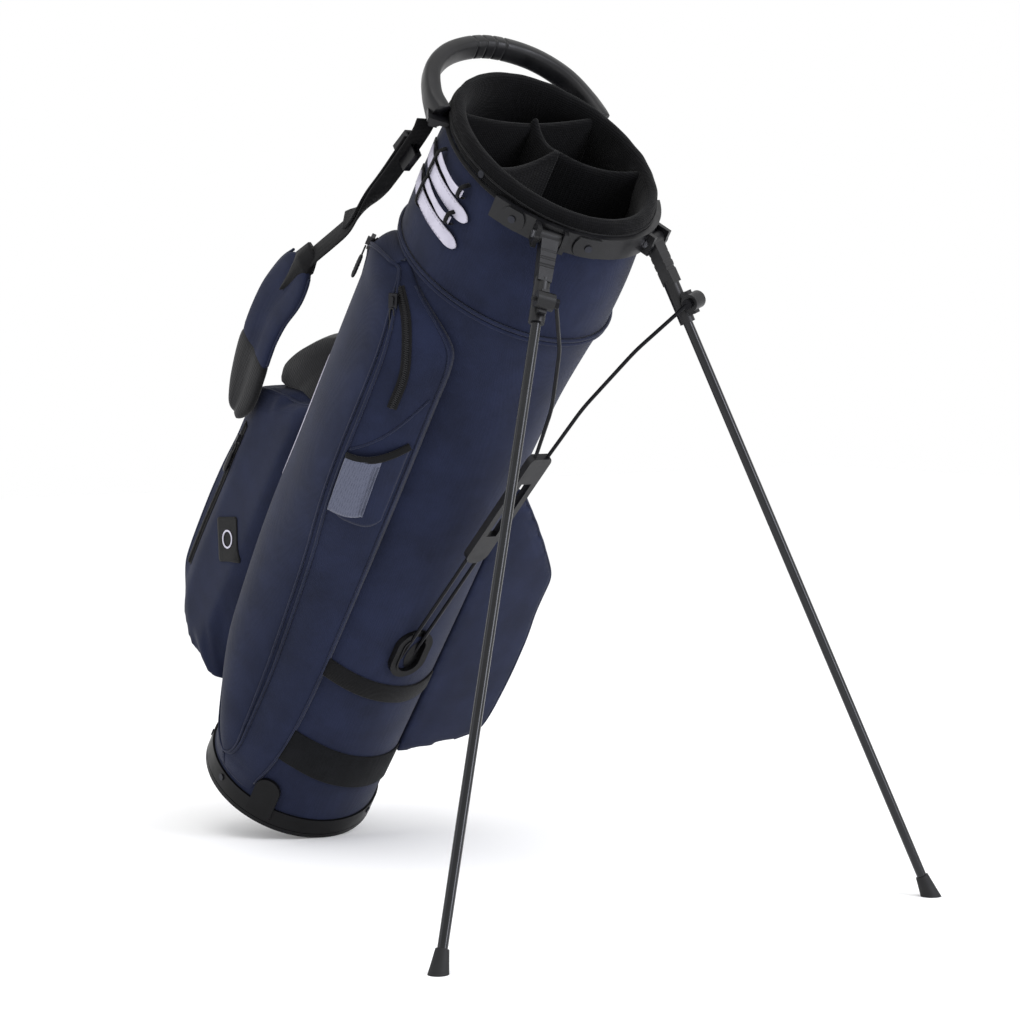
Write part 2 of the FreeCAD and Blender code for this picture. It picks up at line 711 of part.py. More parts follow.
def side_pocket():
    """Long pocket that wraps the side of the tube, deep at the top and shallow below."""
    def section(z, front, edge, rear, reach):
        inner = TUBE_R - 18
        span = rear - edge
        angles = [(front, inner), (front - 2, TUBE_MID_R + 1), (edge, reach),
                  (edge + 0.3 * span, reach + 1), (edge + 0.6 * span, reach + 1),
                  (edge + 0.88 * span, reach - 2), (rear, TUBE_MID_R), (rear + 3, inner),
                  ((front + rear) / 2, inner)]
        flat = [around(a, r, z) for a, r in angles]
        return outline([(p.x, p.y) for p in flat], z)
    wires = [section(52, -80, -88, -124, 101), section(90, -68, -76, -136, 108),
             section(150, -60, -68, -146, 118), section(260, -56, -67, -152, POCKET_R - 8),
             section(420, -50, -68, -155, POCKET_R), section(590, -48, -70, -155, POCKET_R),
             section(660, -50, -82, -152, POCKET_R - 1), section(708, -64, -96, -145, POCKET_R - 3)]
    pocket = Part.makeLoft(wires, True, False)
    pocket = pocket.cut(tube_core(GAP)).cut(collar_core(GAP))
    for tape in ("side_zip", "rear_zip"):
        pocket = pocket.cut(zip_room(tape))
    pocket = pocket.cut(back_pocket_block(GAP))
    return biggest(pocket)


def biggest(shape):
    return max(shape.Solids, key=lambda s: s.Volume)


def back_pocket_block(by=0.0):
    """Box pocket on the side away from the legs."""
    def section(z, out, half):
        return outline([(-70, -half - by), (-out * 0.72, -half - by), (-out + 8 - by, -half + 6),
                        (-out - by, -half * 0.6), (-out - by, half * 0.6),
                        (-out + 8 - by, half - 6), (-out * 0.72, half + by),
                        (-70, half + by)], z)
    wires = [section(BOX_LOW - by, 120, 70), section(BOX_LOW + 32, BACK_OUT - 6, 98),
             section(BOX_LOW + 90, BACK_OUT, 100), section(330, BACK_OUT - 8, 98),
             section(420 + by, BACK_OUT - 12, 94)]
    return Part.makeLoft(wires, True, False)


def back_pocket():
    wedge = block((260, 300, 60), V(0, 0, 0))
    wedge = put(wedge, FreeCAD.Placement(V(-150, 0, 470), FreeCAD.Rotation(V(0, 1, 0), -28)))
    pocket = back_pocket_block().cut(tube_core(GAP)).cut(wedge)
    return biggest(pocket.cut(zip_room("back_zip")))


def right_pocket():
    """Box pocket on the right, opposite the long pocket."""
    def section(z, out, front):
        return outline([(front, 60), (front, out * 0.66), (front - 8, out - 8),
                        (front - 40, out), (-40, out), (-66, out - 10), (-74, out * 0.6),
                        (-74, 60)], z)
    wires = [section(BOX_LOW + 4, 118, RIGHT_FRONT - 12), section(BOX_LOW + 36, RIGHT_OUT - 6, RIGHT_FRONT),
             section(BOX_LOW + 110, RIGHT_OUT + 4, RIGHT_FRONT + 3),
             section(330, RIGHT_OUT - 2, RIGHT_FRONT + 2),
             section(400, 150, RIGHT_FRONT - 4), section(BOX_TOP, 112, RIGHT_FRONT - 12)]
    pocket = Part.makeLoft(wires, True, False)
    pocket = pocket.cut(tube_core(GAP)).cut(back_pocket_block(GAP))
    for strap in (leg_strap(), grip_band()):
        pocket = pocket.cut(strap)
    return biggest(pocket.cut(zip_room("right_zip")))


def hip_pad():
    """Mesh pad on the back of the bag, above the back pocket."""
    face = Part.makePolygon([V(-96, 0, 468), V(-176, 0, 432), V(-186, 0, 452), V(-164, 0, 492),
                             V(-120, 0, 560), V(-98, 0, 566), V(-96, 0, 468)])
    pad = Part.Face(face).extrude(V(0, 168, 0))
    pad.translate(V(0, -88, 0))
    pad = pad.makeFillet(7.0, [e for e in pad.Edges if abs(e.tangentAt(e.FirstParameter).y) < 0.5
                               and e.BoundBox.XMax < -110])
    pad = pad.cut(tube_core(GAP)).cut(back_pocket_block(GAP))
    return biggest(pad.cut(side_pocket_grown()))


def band(low, high, start, end, thick, skew=0.0):
    """Flat band wrapped round the front of the tube between two angles."""
    outer = oval_solid([(low - 30, 0, TUBE_MID_R + thick, TUBE_MID_R + thick),
                        (high + 30, 0, TUBE_MID_R + thick, TUBE_MID_R + thick)])
    strip = outer.cut(tube_core(GAP))
    slab = block((400, 400, high - low), V(0, 0, 0))
    tilt = FreeCAD.Rotation(V(1, 0, 0), skew)
    slab = put(slab, FreeCAD.Placement(V(0, 0, (low + high) / 2), tilt))
    wedge = Part.makeCylinder(200, high - low + 120, V(0, 0, low - 60), V(0, 0, 1), end - start)
    wedge.rotate(V(0, 0, 0), V(0, 0, 1), start)
    return biggest(strip.common(slab).common(wedge))


def leg_strap():
    """Strap that holds the folded legs."""
    return band(214, 238, -55, 41, STRAP_T, BAND_SLOPE)


def grip_band():
    """Wide band low on the tube, for the hand that lifts the bag."""
    return band(82, 126, -56, 41, STRAP_T, BAND_SLOPE)


def bottle_sleeve():
    """Stretch sleeve on the front flank of the long pocket."""
    angles = (-46, -60, -66)
    wires = []
    for z, reach in ((372, 112), (400, 124), (480, 134), (520, 138)):
        pts = [around(-36, TUBE_MID_R - 8, z), around(-40, TUBE_MID_R + 4, z),
               around(angles[0], reach - 4, z), around(angles[1], reach, z),
               around(angles[2], TUBE_MID_R + 2, z), around(angles[2], TUBE_MID_R - 8, z)]
        wires.append(outline([(p.x, p.y) for p in pts], z))
    sleeve = Part.makeLoft(wires, True, False)
    inside = []
    for z, reach in ((384, 106), (400, 118), (480, 128), (540, 134)):
        pts = [around(-40, TUBE_MID_R - 8, z), around(-43, TUBE_MID_R + 3, z),
               around(angles[0] - 1, reach - 4, z), around(angles[1], reach, z),
               around(angles[2] + 3, TUBE_MID_R + 2, z), around(angles[2] + 3, TUBE_MID_R - 8, z)]
        inside.append(outline([(p.x, p.y) for p in pts], z))
    sleeve = sleeve.cut(Part.makeLoft(inside, True, False))
    return biggest(sleeve.cut(tube_core(GAP)).cut(side_pocket_grown()))


def side_pocket_grown():
    """The long pocket a little larger, so that the sleeve clears it."""
    pocket = side_pocket()
    grown_up = pocket.copy()
    grown_up.scale(1.004, V(0, 0, 450))
    return grown_up.fuse(pocket)


def accessory_strap(z):
    """Short leather strap with its end folded back through a loop."""
    start, end = -117, -76
    outer = oval_solid([(z - 60, COLLAR_X, COLLAR_A + 8, COLLAR_B + 8),
                        (z + 60, COLLAR_X, COLLAR_A + 8, COLLAR_B + 8)])
    strip = outer.cut(collar_core(GAP))
    slab = block((400, 400, 22), V(0, 0, z))
    wedge = Part.makeCylinder(200, 160, V(0, 0, z - 80), V(0, 0, 1), end - start)
    wedge.rotate(V(0, 0, 0), V(0, 0, 1), start)
    return biggest(strip.common(slab).common(wedge))


# ---- zips: tape fixed, slider runs on it, puller swings on the slider ----

ZIPS = {
    "side_zip": (V(-4, -129, 694), V(50, -121, 590), V(0.62, -0.78, 0.0)),
    "rear_zip": (V(-88, -104, 700), V(-92, -104, 560), V(-0.66, -0.75, 0.0)),
    "back_zip": (V(-176, -99, 372), V(-184, -101, 176), V(-0.25, -0.97, 0.0)),
    "right_zip": (V(-52, 178, 352), V(-52, 184, 170), V(-0.55, 0.83, 0.0)),
}


def zip_frame(name):
    """Frame on a zip: X runs down the tape and Z out of it."""
    top, foot, normal = ZIPS[name]
    run = (foot - top).normalize()
    across = V(normal).cross(run)
    return frame_at(top, run, across)


def zip_length(name):
    top, foot, normal = ZIPS[name]
    return (foot - top).Length


def zip_room(name):
    length = zip_length(name)
    room = Part.makeBox(length + 2 * GAP, TAPE_W + 2 * GAP, 60,
                        V(-GAP, -TAPE_W / 2 - GAP, -GAP))
    return put(room, zip_frame(name))


def zip_tape(name):
    tape = Part.makeBox(zip_length(name), TAPE_W, TAPE_T, V(0, -TAPE_W / 2, 0))
    teeth = Part.makeBox(zip_length(name) - 8, 5.0, 1.2, V(4, -2.5, TAPE_T))
    return put(tape.fuse(teeth).removeSplitter(), zip_frame(name))


def zip_slider(name):
    low = TAPE_T + 1.2 + GAP
    body = Part.makeBox(SLIDER_LEN, SLIDER_W, SLIDER_H, V(6, -SLIDER_W / 2, low))
    bridge = block((9.0, 3.0, 3.0), V(6 + SLIDER_LEN / 2, 0, low + SLIDER_H + 1.5))
    return put(body.fuse(bridge).removeSplitter(), zip_frame(name))


def zip_hinge_local():
    return V(6 + SLIDER_LEN / 2 + 8.0, 0, TAPE_T + 1.2 + GAP + SLIDER_H + PULL_T / 2 + GAP)


def zip_puller(name):
    at = zip_hinge_local()
    body = block((PULL_LEN, PULL_W, PULL_T), at + V(PULL_LEN / 2, 0, 0))
    barrel = cylinder(PULL_T / 2, at - V(0, PULL_W / 2, 0), at + V(0, PULL_W / 2, 0))
    end = cylinder(PULL_W / 2, at + V(PULL_LEN, 0, -PULL_T / 2), at + V(PULL_LEN, 0, PULL_T / 2))
    return put(body.fuse([barrel, end]).removeSplitter(), zip_frame(name))


# ---- shoulder straps ----

STRAP_TOP = (-86.0, 106.0, 843.0)      # where each strap leaves its ring
STRAP_FOOT = (-166.0, 113.0, 392.0)
STRAP_SWING = {"left": 180.0, "right": 116.0}
STRAP_SLACK = {"left": 1.0, "right": 1.35}
WEB_LINE = [(12, 0), (22, -2), (162, 17), (256, 50)]
PAD_OUTER = [(262, 74), (330, 87), (395, 77), (440, 58), (470, 34)]
PAD_INNER = [(470, 12), (440, 4), (395, 14), (345, 25), (300, 22), (262, 24)]


def strap_frame(name):
    """X runs from the upper to the lower anchor, Y outwards in the strap's plane."""
    side = SIDES[name]
    top = V(STRAP_TOP[0], side * STRAP_TOP[1], STRAP_TOP[2])
    foot = V(STRAP_FOOT[0], side * STRAP_FOOT[1], STRAP_FOOT[2])
    out = around(side * STRAP_SWING[name], 1, 0)
    return frame_at(top, foot - top, out)


def strap_outline(points, slack, thick):
    face = Part.Face(Part.makePolygon([V(p, q * slack, -thick / 2) for p, q in points]
                                      + [V(points[0][0], points[0][1] * slack, -thick / 2)]))
    return face.extrude(V(0, 0, thick))


def strap_webbing(name):
    slack = STRAP_SLACK[name]
    half = WEB_W / 2
    line = WEB_LINE
    points = [(p, q - half / slack) for p, q in line]
    points += [(p, q + half / slack) for p, q in reversed(line)]
    return put(strap_outline(points, slack, STRAP_T), strap_frame(name))


def strap_pad(name):
    slack = STRAP_SLACK[name]
    pad = strap_outline(PAD_OUTER + PAD_INNER, slack, PAD_T)
    webbing = strap_outline([(250, 30), (262.5, 30), (262.5, 70), (250, 70)], slack, STRAP_T + 1)
    return put(pad.cut(webbing), strap_frame(name))


def lock_direction(name):
    (p0, q0), (p1, q1) = WEB_LINE[1], WEB_LINE[2]
    slack = STRAP_SLACK[name]
    return V(p1 - p0, (q1 - q0) * slack, 0).normalize()


def ladder_lock(name):
    slack = STRAP_SLACK[name]
    along = lock_direction(name)
    start = V(WEB_LINE[1][0], WEB_LINE[1][1] * slack, 0) + along * 12
    body = block((26.0, WEB_W + 8, 8.0), V(13, 0, 0))
    body = body.cut(block((40.0, WEB_W + 1.6, STRAP_T + 1.0), V(13, 0, 0)))
    body = put(body, frame_at(start, along, V(0, 0, 1).cross(along)))
    return put(body, strap_frame(name))


def strap_ring(name):
    """Moulded loop under the mouth ring that the strap hangs from."""
    side = SIDES[name]
    top = V(STRAP_TOP[0], side * STRAP_TOP[1], STRAP_TOP[2])
    out = V(top.x - COLLAR_X, top.y * 1.35, 0).normalize()
    across = V(-out.y, out.x, 0)
    place = frame_at(top, out, across)
    loop = block((9.0, 40.0, 8.0), V(-4, 0, 6))
    bar = block((30.0, 40.0, 5.0), V(-12, 0, 8))
    ring = put(loop.fuse(bar), place)
    ring = ring.cut(collar_core(0.05))
    ring = ring.cut(rim_oval(COLLAR_TOP - 0.1, COLLAR_TOP + 80, RING_OUT + 0.05, 100))
    return biggest(ring)


# ---- leaning the bag over and setting it on the ground ----

LEAN_TURN = FreeCAD.Rotation(V(0, 1, 0), LEAN)
BASE_HEIGHT = BASE_R * math.sin(math.radians(LEAN))


def lean_placement():
    return FreeCAD.Placement(V(0, 0, BASE_HEIGHT), LEAN_TURN)


def place(shape):
    return put(shape, lean_placement())


def place_point(point):
    return lean_placement().multVec(point)


def turn_vector(vector):
    return LEAN_TURN.multVec(vector)


def bag_nodes():
    nodes = {
        "base_cup": base_cup(),
        "base_tab": base_tab(),
        "body_screws": body_screws(),
        "body_shell": body_shell(),
        "collar_panel": collar_panel(),
        "collar_ring": collar_ring(),
        "collar_padding": collar_padding(),
        "top_handle": top_handle(),
        "stay_rods": stay_rods(),
        "stand_bracket": stand_bracket(),
        "bracket_plate_left": bracket_plate(-52),
        "bracket_plate_middle": bracket_plate(-14),
        "leg_hinge_pins": leg_hinge_pins(),
        "rod_grommet": rod_grommet(),
        "leg_strap": leg_strap(),
        "grip_band": grip_band(),
        "side_pocket": side_pocket(),
        "bottle_sleeve": bottle_sleeve(),
        "back_pocket": back_pocket(),
        "right_pocket": right_pocket(),
        "hip_pad": hip_pad(),
        "accessory_strap_upper": accessory_strap(805),
        "accessory_strap_lower": accessory_strap(774),
        "foot_plate": foot_plate(),
        "foot_hinge_pin": foot_hinge_pin(),
        "rod_connector": rod_connector(),
        "push_rod": push_rod(),
    }
    nodes.update(dividers())
    for name in ZIPS:
        nodes[name + "_tape"] = zip_tape(name)
        nodes[name + "_slider"] = zip_slider(name)
        nodes[name + "_puller"] = zip_puller(name)
    for name, side in SIDES.items():
        nodes["leg_knuckle_" + name] = leg_knuckle(side)
        nodes["leg_tube_" + name] = leg_tube(side)
        nodes["upper_rod_" + name] = upper_rod(side)
        nodes["strap_webbing_" + name] = strap_webbing(name)
        nodes["strap_pad_" + name] = strap_pad(name)
        nodes["ladder_lock_" + name] = ladder_lock(name)
        nodes["strap_ring_" + name] = strap_ring(name)
    return nodes


def centred(nodes):
    """Moves everything so that the origin is the middle of its outline on the ground."""
    box = Part.makeCompound(list(nodes.values())).optimalBoundingBox(False, False)
    shift = V(-(box.XMin + box.XMax) / 2, -(box.YMin + box.YMax) / 2, 0)
    print("shift", round(shift.x, 4), round(shift.y, 4))
    print("box", [round(v, 1) for v in (box.XMin, box.YMin, box.ZMin,
                                        box.XMax, box.YMax, box.ZMax)])
    return {name: put(shape, FreeCAD.Placement(shift, FreeCAD.Rotation()))
            for name, shape in nodes.items()}


def main():
    os.makedirs("parts", exist_ok=True)
    nodes = {name: place(shape) for name, shape in bag_nodes().items()}
    for name, side in SIDES.items():
        nodes["leg_foot_" + name] = leg_foot(side)
    for name, shape in sorted(centred(nodes).items()):
        shape.exportStep("parts/" + name + ".step")
        box = shape.BoundBox
        print(name, "solids", len(shape.Solids), "valid", shape.isValid(),
              "volume", round(shape.Volume), "z", round(box.ZMin, 1), round(box.ZMax, 1))


main()
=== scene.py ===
# %% [markdown]
# # A golf stand bag
# The mechanical design comes in as a fixed frame: every rigid piece is already in its place.
# This lesson adds what makes it look real: sewn softshell fabric, fleece, webbing, zips,
# moulded plastic and metal. Soft goods are built as their own meshes around the frame.

# %% Load the frame
import bpy
import bmesh
import math
from mathutils import Matrix, Vector, noise
from mathutils.bvhtree import BVHTree


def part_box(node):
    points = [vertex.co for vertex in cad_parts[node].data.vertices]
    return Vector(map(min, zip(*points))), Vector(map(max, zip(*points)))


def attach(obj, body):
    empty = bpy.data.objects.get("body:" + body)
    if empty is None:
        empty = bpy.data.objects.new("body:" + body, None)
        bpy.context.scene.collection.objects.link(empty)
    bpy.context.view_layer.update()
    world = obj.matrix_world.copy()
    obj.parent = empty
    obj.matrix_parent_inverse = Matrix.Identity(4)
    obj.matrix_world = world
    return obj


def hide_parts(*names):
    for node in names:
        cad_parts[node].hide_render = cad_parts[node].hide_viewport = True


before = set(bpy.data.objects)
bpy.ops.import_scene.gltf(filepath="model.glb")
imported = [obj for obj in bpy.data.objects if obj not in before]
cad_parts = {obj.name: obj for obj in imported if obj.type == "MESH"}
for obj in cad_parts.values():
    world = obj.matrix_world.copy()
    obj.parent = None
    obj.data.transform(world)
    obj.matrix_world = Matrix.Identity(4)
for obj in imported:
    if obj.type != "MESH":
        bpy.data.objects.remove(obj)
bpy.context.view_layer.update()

# %% [markdown]
# ## Where the bag lies
# A bag is sewn upright, so each soft piece is described upright too: Z up its axis, +X on the
# side of the legs. One matrix then leans it over. It is worked out from the moulded base.

# %% The bag's own upright frame
LEAN = math.radians(36.6)
BASE_R = 0.100
cup_low, cup_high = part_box("base_cup")
HEEL_X = cup_low.x + BASE_R * math.cos(LEAN)
BAG = Matrix.Translation((HEEL_X, 0, BASE_R * math.sin(LEAN))) @ Matrix.Rotation(LEAN, 4, "Y")
print("heel of the bag at", round(HEEL_X, 4))


def around(angle, radius, height):
    """Point in the upright frame, at an angle in degrees from +X towards +Y."""
    turn = math.radians(angle)
    return Vector((radius * math.cos(turn), radius * math.sin(turn), height))


def blend_values(pairs, at):
    """Smooth value between (place, value) pairs, by a Catmull-Rom curve."""
    if at <= pairs[0][0]:
        return pairs[0][1]
    if at >= pairs[-1][0]:
        return pairs[-1][1]
    last = len(pairs) - 1
    k = max(i for i in range(last) if pairs[i][0] <= at)
    (x0, y0), (x1, y1) = pairs[k], pairs[k + 1]
    before = pairs[max(k - 1, 0)]
    after = pairs[min(k + 2, last)]
    m0 = (y1 - before[1]) / (x1 - before[0])
    m1 = (after[1] - y0) / (after[0] - x0)
    h = x1 - x0
    t = (at - x0) / h
    return ((2 * t**3 - 3 * t**2 + 1) * y0 + (t**3 - 2 * t**2 + t) * h * m0
            + (3 * t**2 - 2 * t**3) * y1 + (t**3 - t**2) * h * m1)


# %% [markdown]
# ## Colours and the one node helper
# Colours are written as sRGB hex, the way a swatch book gives them. `add` makes one node with
# its settings and links, so each finish below reads as a short recipe.

# %% Helpers for materials
def linear(code):
    """sRGB hex to linear RGBA."""
    parts = [int(code[i:i + 2], 16) / 255 for i in (1, 3, 5)]
    return [c / 12.92 if c <= 0.04045 else ((c + 0.055) / 1.055) ** 2.4 for c in parts] + [1.0]


def add(tree, kind, settings=None, **inputs):
    """One node: settings are its properties; inputs are values or sockets to link from."""
    node = tree.nodes.new(kind)
    for key, value in (settings or {}).items():
        setattr(node, key, value)
    for key, value in inputs.items():
        index = int(key[1:]) if key[0] == "i" and key[1:].isdigit() else key.replace("_", " ")
        socket = node.inputs[index]
        if isinstance(value, bpy.types.NodeSocket):
            tree.links.new(value, socket)
        else:
            socket.default_value = value
    return node


def new_material(name):
    material = bpy.data.materials.new(name)
    material.use_nodes = True
    material.node_tree.nodes.clear()
    return material, material.node_tree


def finish_material(tree, shader, height=None, strength=0.3, distance=0.001):
    """Joins the shader to the output, with the height as bump."""
    if height is not None:
        bump = add(tree, "ShaderNodeBump", Strength=strength, Distance=distance, Height=height)
        tree.links.new(bump.outputs["Normal"], shader.inputs["Normal"])
    out = add(tree, "ShaderNodeOutputMaterial")
    tree.links.new(shader.outputs[0], out.inputs["Surface"])


def upright(tree):
    """Coordinates along the bag: leaning back undone, in metres."""
    coords = add(tree, "ShaderNodeTexCoord").outputs["Object"]
    turn = add(tree, "ShaderNodeMapping", Vector=coords, Rotation=(0, -LEAN, 0))
    return turn.outputs["Vector"]


def waves(tree, coords, pitch, axis):
    """Ribs that repeat every pitch metres along an axis; a wave texture repeats each 0.314."""
    node = add(tree, "ShaderNodeTexWave", {"wave_type": "BANDS", "bands_direction": axis},
               Vector=coords, Scale=0.31416 / pitch, Distortion=0.0, Detail=0.0)
    return node.outputs["Fac"]


def mottled(tree, coords, dark, light, size, detail=4.0):
    """Colour that wanders between two shades over patches of a given size in metres."""
    cloud = add(tree, "ShaderNodeTexNoise", Vector=coords, Scale=1.0 / size, Detail=detail,
                Roughness=0.6)
    ramp = add(tree, "ShaderNodeValToRGB", Fac=cloud.outputs["Fac"])
    ramp.color_ramp.elements[0].position = 0.32
    ramp.color_ramp.elements[1].position = 0.68
    ramp.color_ramp.elements[0].color = linear(dark)
    ramp.color_ramp.elements[1].color = linear(light)
    return ramp.outputs["Color"]


# %% [markdown]
# ## Fabrics
# Woven cloth is matte, with a faint glow at grazing angles from its loose fibres (sheen), and tiny
# shadows between threads. These shadows come from the bump and are also painted: the colour is
# darker in the low places of the weave and a little lighter on its high ones, with some grain mixed
# in. The threads of softshell are 0.3 mm apart, too fine to show, so they are drawn about 1.2 mm
# apart. The colour drifts a little from panel to panel.

# %% Woven and knitted finishes
def woven(name, dark, light, pitch, roughness, sheen, bump, ribbed=False, patch=0.05):
    material, tree = new_material(name)
    coords = upright(tree)
    colour = mottled(tree, coords, dark, light, patch)
    weft = waves(tree, coords, pitch, "Z")
    if ribbed:
        height = weft
    else:
        warp_x = waves(tree, coords, pitch, "X")
        warp_y = waves(tree, coords, pitch, "Y")
        warp = add(tree, "ShaderNodeMath", {"operation": "MULTIPLY"}, i0=warp_x, i1=warp_y)
        height = add(tree, "ShaderNodeMath", {"operation": "ADD"}, i0=weft,
                     i1=warp.outputs[0]).outputs[0]
    grain = add(tree, "ShaderNodeTexNoise", Vector=coords, Scale=1.0 / (pitch * 1.7), Detail=3.0)
    both = add(tree, "ShaderNodeMath", {"operation": "ADD"}, i0=height,
               i1=grain.outputs["Fac"]).outputs[0]
    # Painted shade and light on the weave: the colour is scaled from 0.86 in its low places to 1.08
    # on its high ones, with grain noise mixed in.
    weave_shade_and_grain = add(tree, "ShaderNodeMapRange", Value=both, i1=0.4, i2=2.2, i3=0.86, i4=1.08)
    tint = add(tree, "ShaderNodeVectorMath", {"operation": "SCALE"}, i0=colour,
               Scale=weave_shade_and_grain.outputs[0])
    shader = add(tree, "ShaderNodeBsdfPrincipled", Base_Color=tint.outputs[0],
                 Roughness=roughness, Sheen_Weight=sheen, Sheen_Roughness=0.45)
    shader.inputs["Specular IOR Level"].default_value = 0.12
    finish_material(tree, shader, both, bump, 0.0006)
    return material


NAVY = woven("navy softshell polyester, woven", "#151a2d", "#1c2239", 0.0012, 0.80, 0.08, 0.22)
NAVY_PIPING = woven("navy piping cord, bias-cut", "#14192c", "#1b2137", 0.0012, 0.62, 0.09, 0.15)
FLEECE = woven("black fleece, brushed polyester", "#040405", "#08080a", 0.0022, 0.95, 0.05, 0.55,
               patch=0.012)
WEBBING = woven("black nylon webbing, ribbed", "#060607", "#0b0b0d", 0.0018, 0.72, 0.06, 0.5,
                ribbed=True)
BINDING = woven("black grosgrain binding", "#070708", "#0c0c0e", 0.0014, 0.58, 0.06, 0.35,
                ribbed=True)
BAND_CLOTH = woven("charcoal hook-and-loop band", "#0c0d0f", "#121316", 0.0016, 0.9, 0.03, 0.4,
                   patch=0.02)


def knitted(name, dark, light, cell, roughness=0.8):
    """Mesh knit: rounded holes in staggered rows, from a cell texture."""
    material, tree = new_material(name)
    coords = upright(tree)
    holes = add(tree, "ShaderNodeTexVoronoi", {"feature": "F1"}, Vector=coords, Scale=1.0 / cell,
                Randomness=0.25)
    ramp = add(tree, "ShaderNodeValToRGB", Fac=holes.outputs["Distance"])
    ramp.color_ramp.elements[0].position = 0.18
    ramp.color_ramp.elements[1].position = 0.5
    ramp.color_ramp.elements[0].color = linear(dark)
    ramp.color_ramp.elements[1].color = linear(light)
    shader = add(tree, "ShaderNodeBsdfPrincipled", Base_Color=ramp.outputs["Color"],
                 Roughness=roughness, Sheen_Weight=0.15)
    shader.inputs["Specular IOR Level"].default_value = 0.25
    finish_material(tree, shader, holes.outputs["Distance"], 0.5, 0.0008)
    return material


GREY_MESH = knitted("grey stretch mesh, knitted", "#3c3f50", "#545869", 0.0018)
BLACK_MESH = knitted("black air mesh, spacer knit", "#020203", "#0b0b0e", 0.0032, 0.85)
print("fabrics", len(bpy.data.materials))

# %% [markdown]
# ## Leatherette, moulded plastic, rubber and metal
# Leatherette has a fine pebble grain under a thin coat. Moulded nylon is satin with the faint
# grain of its tool. The legs are drawn aluminium tube, anodised dark: metallic, with long
# highlights. The spring wire is blackened steel, and the screws are plated.

# %% Hard finishes
def moulded(name, dark, light, roughness, grain, bump=0.12, metallic=0.0, coat=0.0,
            specular=0.32, patch=0.03):
    material, tree = new_material(name)
    coords = upright(tree)
    colour = mottled(tree, coords, dark, light, patch)
    texture = add(tree, "ShaderNodeTexNoise", Vector=coords, Scale=1.0 / grain, Detail=2.0)
    wear = add(tree, "ShaderNodeTexNoise", Vector=coords, Scale=60.0, Detail=5.0)
    rough = add(tree, "ShaderNodeMapRange", Value=wear.outputs["Fac"], i1=0.3, i2=0.7,
                i3=roughness - 0.06, i4=roughness + 0.08)
    shader = add(tree, "ShaderNodeBsdfPrincipled", Base_Color=colour,
                 Roughness=rough.outputs[0], Metallic=metallic, Coat_Weight=coat)
    shader.inputs["Specular IOR Level"].default_value = specular
    finish_material(tree, shader, texture.outputs["Fac"], bump, 0.0003)
    return material


PLASTIC = moulded("glass-filled nylon, moulded black", "#08080a", "#0d0d10", 0.38, 0.0010)
BASE_PLASTIC = moulded("polypropylene, moulded black", "#050506", "#09090b", 0.40, 0.0012,
                       specular=0.16)
RUBBER = moulded("natural rubber, moulded", "#0b0b0c", "#131315", 0.62, 0.0012, 0.2)
SOFT_PULL = moulded("soft vinyl pull, dipped", "#0a0a0c", "#121215", 0.36, 0.0014, 0.15)
LEATHER = moulded("white leatherette, embossed", "#b3b0bf", "#c3c0ce", 0.48, 0.0016, 0.3,
                  patch=0.02)
LEATHER_EDGE = moulded("leatherette edge, cut", "#8d8a98", "#a3a0ae", 0.7, 0.0012, 0.2)
ALUMINIUM = moulded("anodised aluminium tube, drawn", "#0f1012", "#151619", 0.24, 0.0008, 0.04,
                    metallic=0.6, coat=0.25, specular=0.5)
SPRING = moulded("spring steel wire, blackened", "#0e0e11", "#151518", 0.34, 0.0008, 0.05,
                 metallic=0.7)
STEEL = moulded("steel screw, zinc-nickel plated", "#85868c", "#9b9ca2", 0.3, 0.0006, 0.05,
                metallic=1.0)
DARK_STEEL = moulded("steel screw, black oxide", "#26272b", "#33343a", 0.35, 0.0006, 0.05,
                     metallic=0.8)
GLASS_FIBRE = moulded("glass-fibre rod, pultruded", "#b9b69a", "#c8c5ab", 0.4, 0.0010, 0.1)
DIE_CAST = moulded("zinc die casting, painted black", "#141417", "#1e1e22", 0.3, 0.0008, 0.08,
                   metallic=0.3)
COIL = moulded("nylon coil zip, spiral", "#08080a", "#101013", 0.42, 0.0010, 0.2)
print("finishes", len(bpy.data.materials))

# %% [markdown]
# ## Building blocks for sewn goods
# Almost everything on a bag is a panel, a strap or a bead of piping. So three helpers do most
# of the work: `panel` turns rows of points into a surface, `sweep` draws a section along a
# path, and `sample` smooths a path through a few chosen points.

# %% Mesh helpers
def piece(name, verts, faces, material, replaces=(), body="bag"):
    """A mesh from points in the upright frame, laid into place and tied to a body."""
    mesh = bpy.data.meshes.new(name)
    mesh.from_pydata([BAG @ Vector(v) for v in verts], [], faces)
    mesh.validate()
    repair = bmesh.new()
    repair.from_mesh(mesh)
    bmesh.ops.remove_doubles(repair, verts=repair.verts, dist=1e-6)
    bmesh.ops.recalc_face_normals(repair, faces=repair.faces)
    repair.to_mesh(mesh)
    repair.free()
    for polygon in mesh.polygons:
        polygon.use_smooth = True
    mesh.materials.append(material)
    obj = bpy.data.objects.new(name, mesh)
    bpy.context.scene.collection.objects.link(obj)
    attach(obj, body)
    if replaces:
        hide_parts(*replaces)
    return obj


def grid_faces(rows, columns, around_columns=False):
    """Quads between rows of points."""
    faces = []
    last = columns if around_columns else columns - 1
    for start in range(0, (rows - 1) * columns, columns):
        for c in range(last):
            a, b = start + c, start + (c + 1) % columns
            faces.append((a, b, b + columns, a + columns))
    return faces


def closing_faces(rows, columns):
    """Quads from the last row of points back to the first."""
    last = (rows - 1) * columns
    return [(last + c, last + (c + 1) % columns, (c + 1) % columns, c) for c in range(columns)]


def capped(rows):
    """Vertices and faces of a closed form through rings of points, with a face on each end."""
    columns = len(rows[0])
    last = (len(rows) - 1) * columns
    faces = grid_faces(len(rows), columns, True)
    faces.append(tuple(range(columns - 1, -1, -1)))
    faces.append(tuple(last + c for c in range(columns)))
    return [p for row in rows for p in row], faces


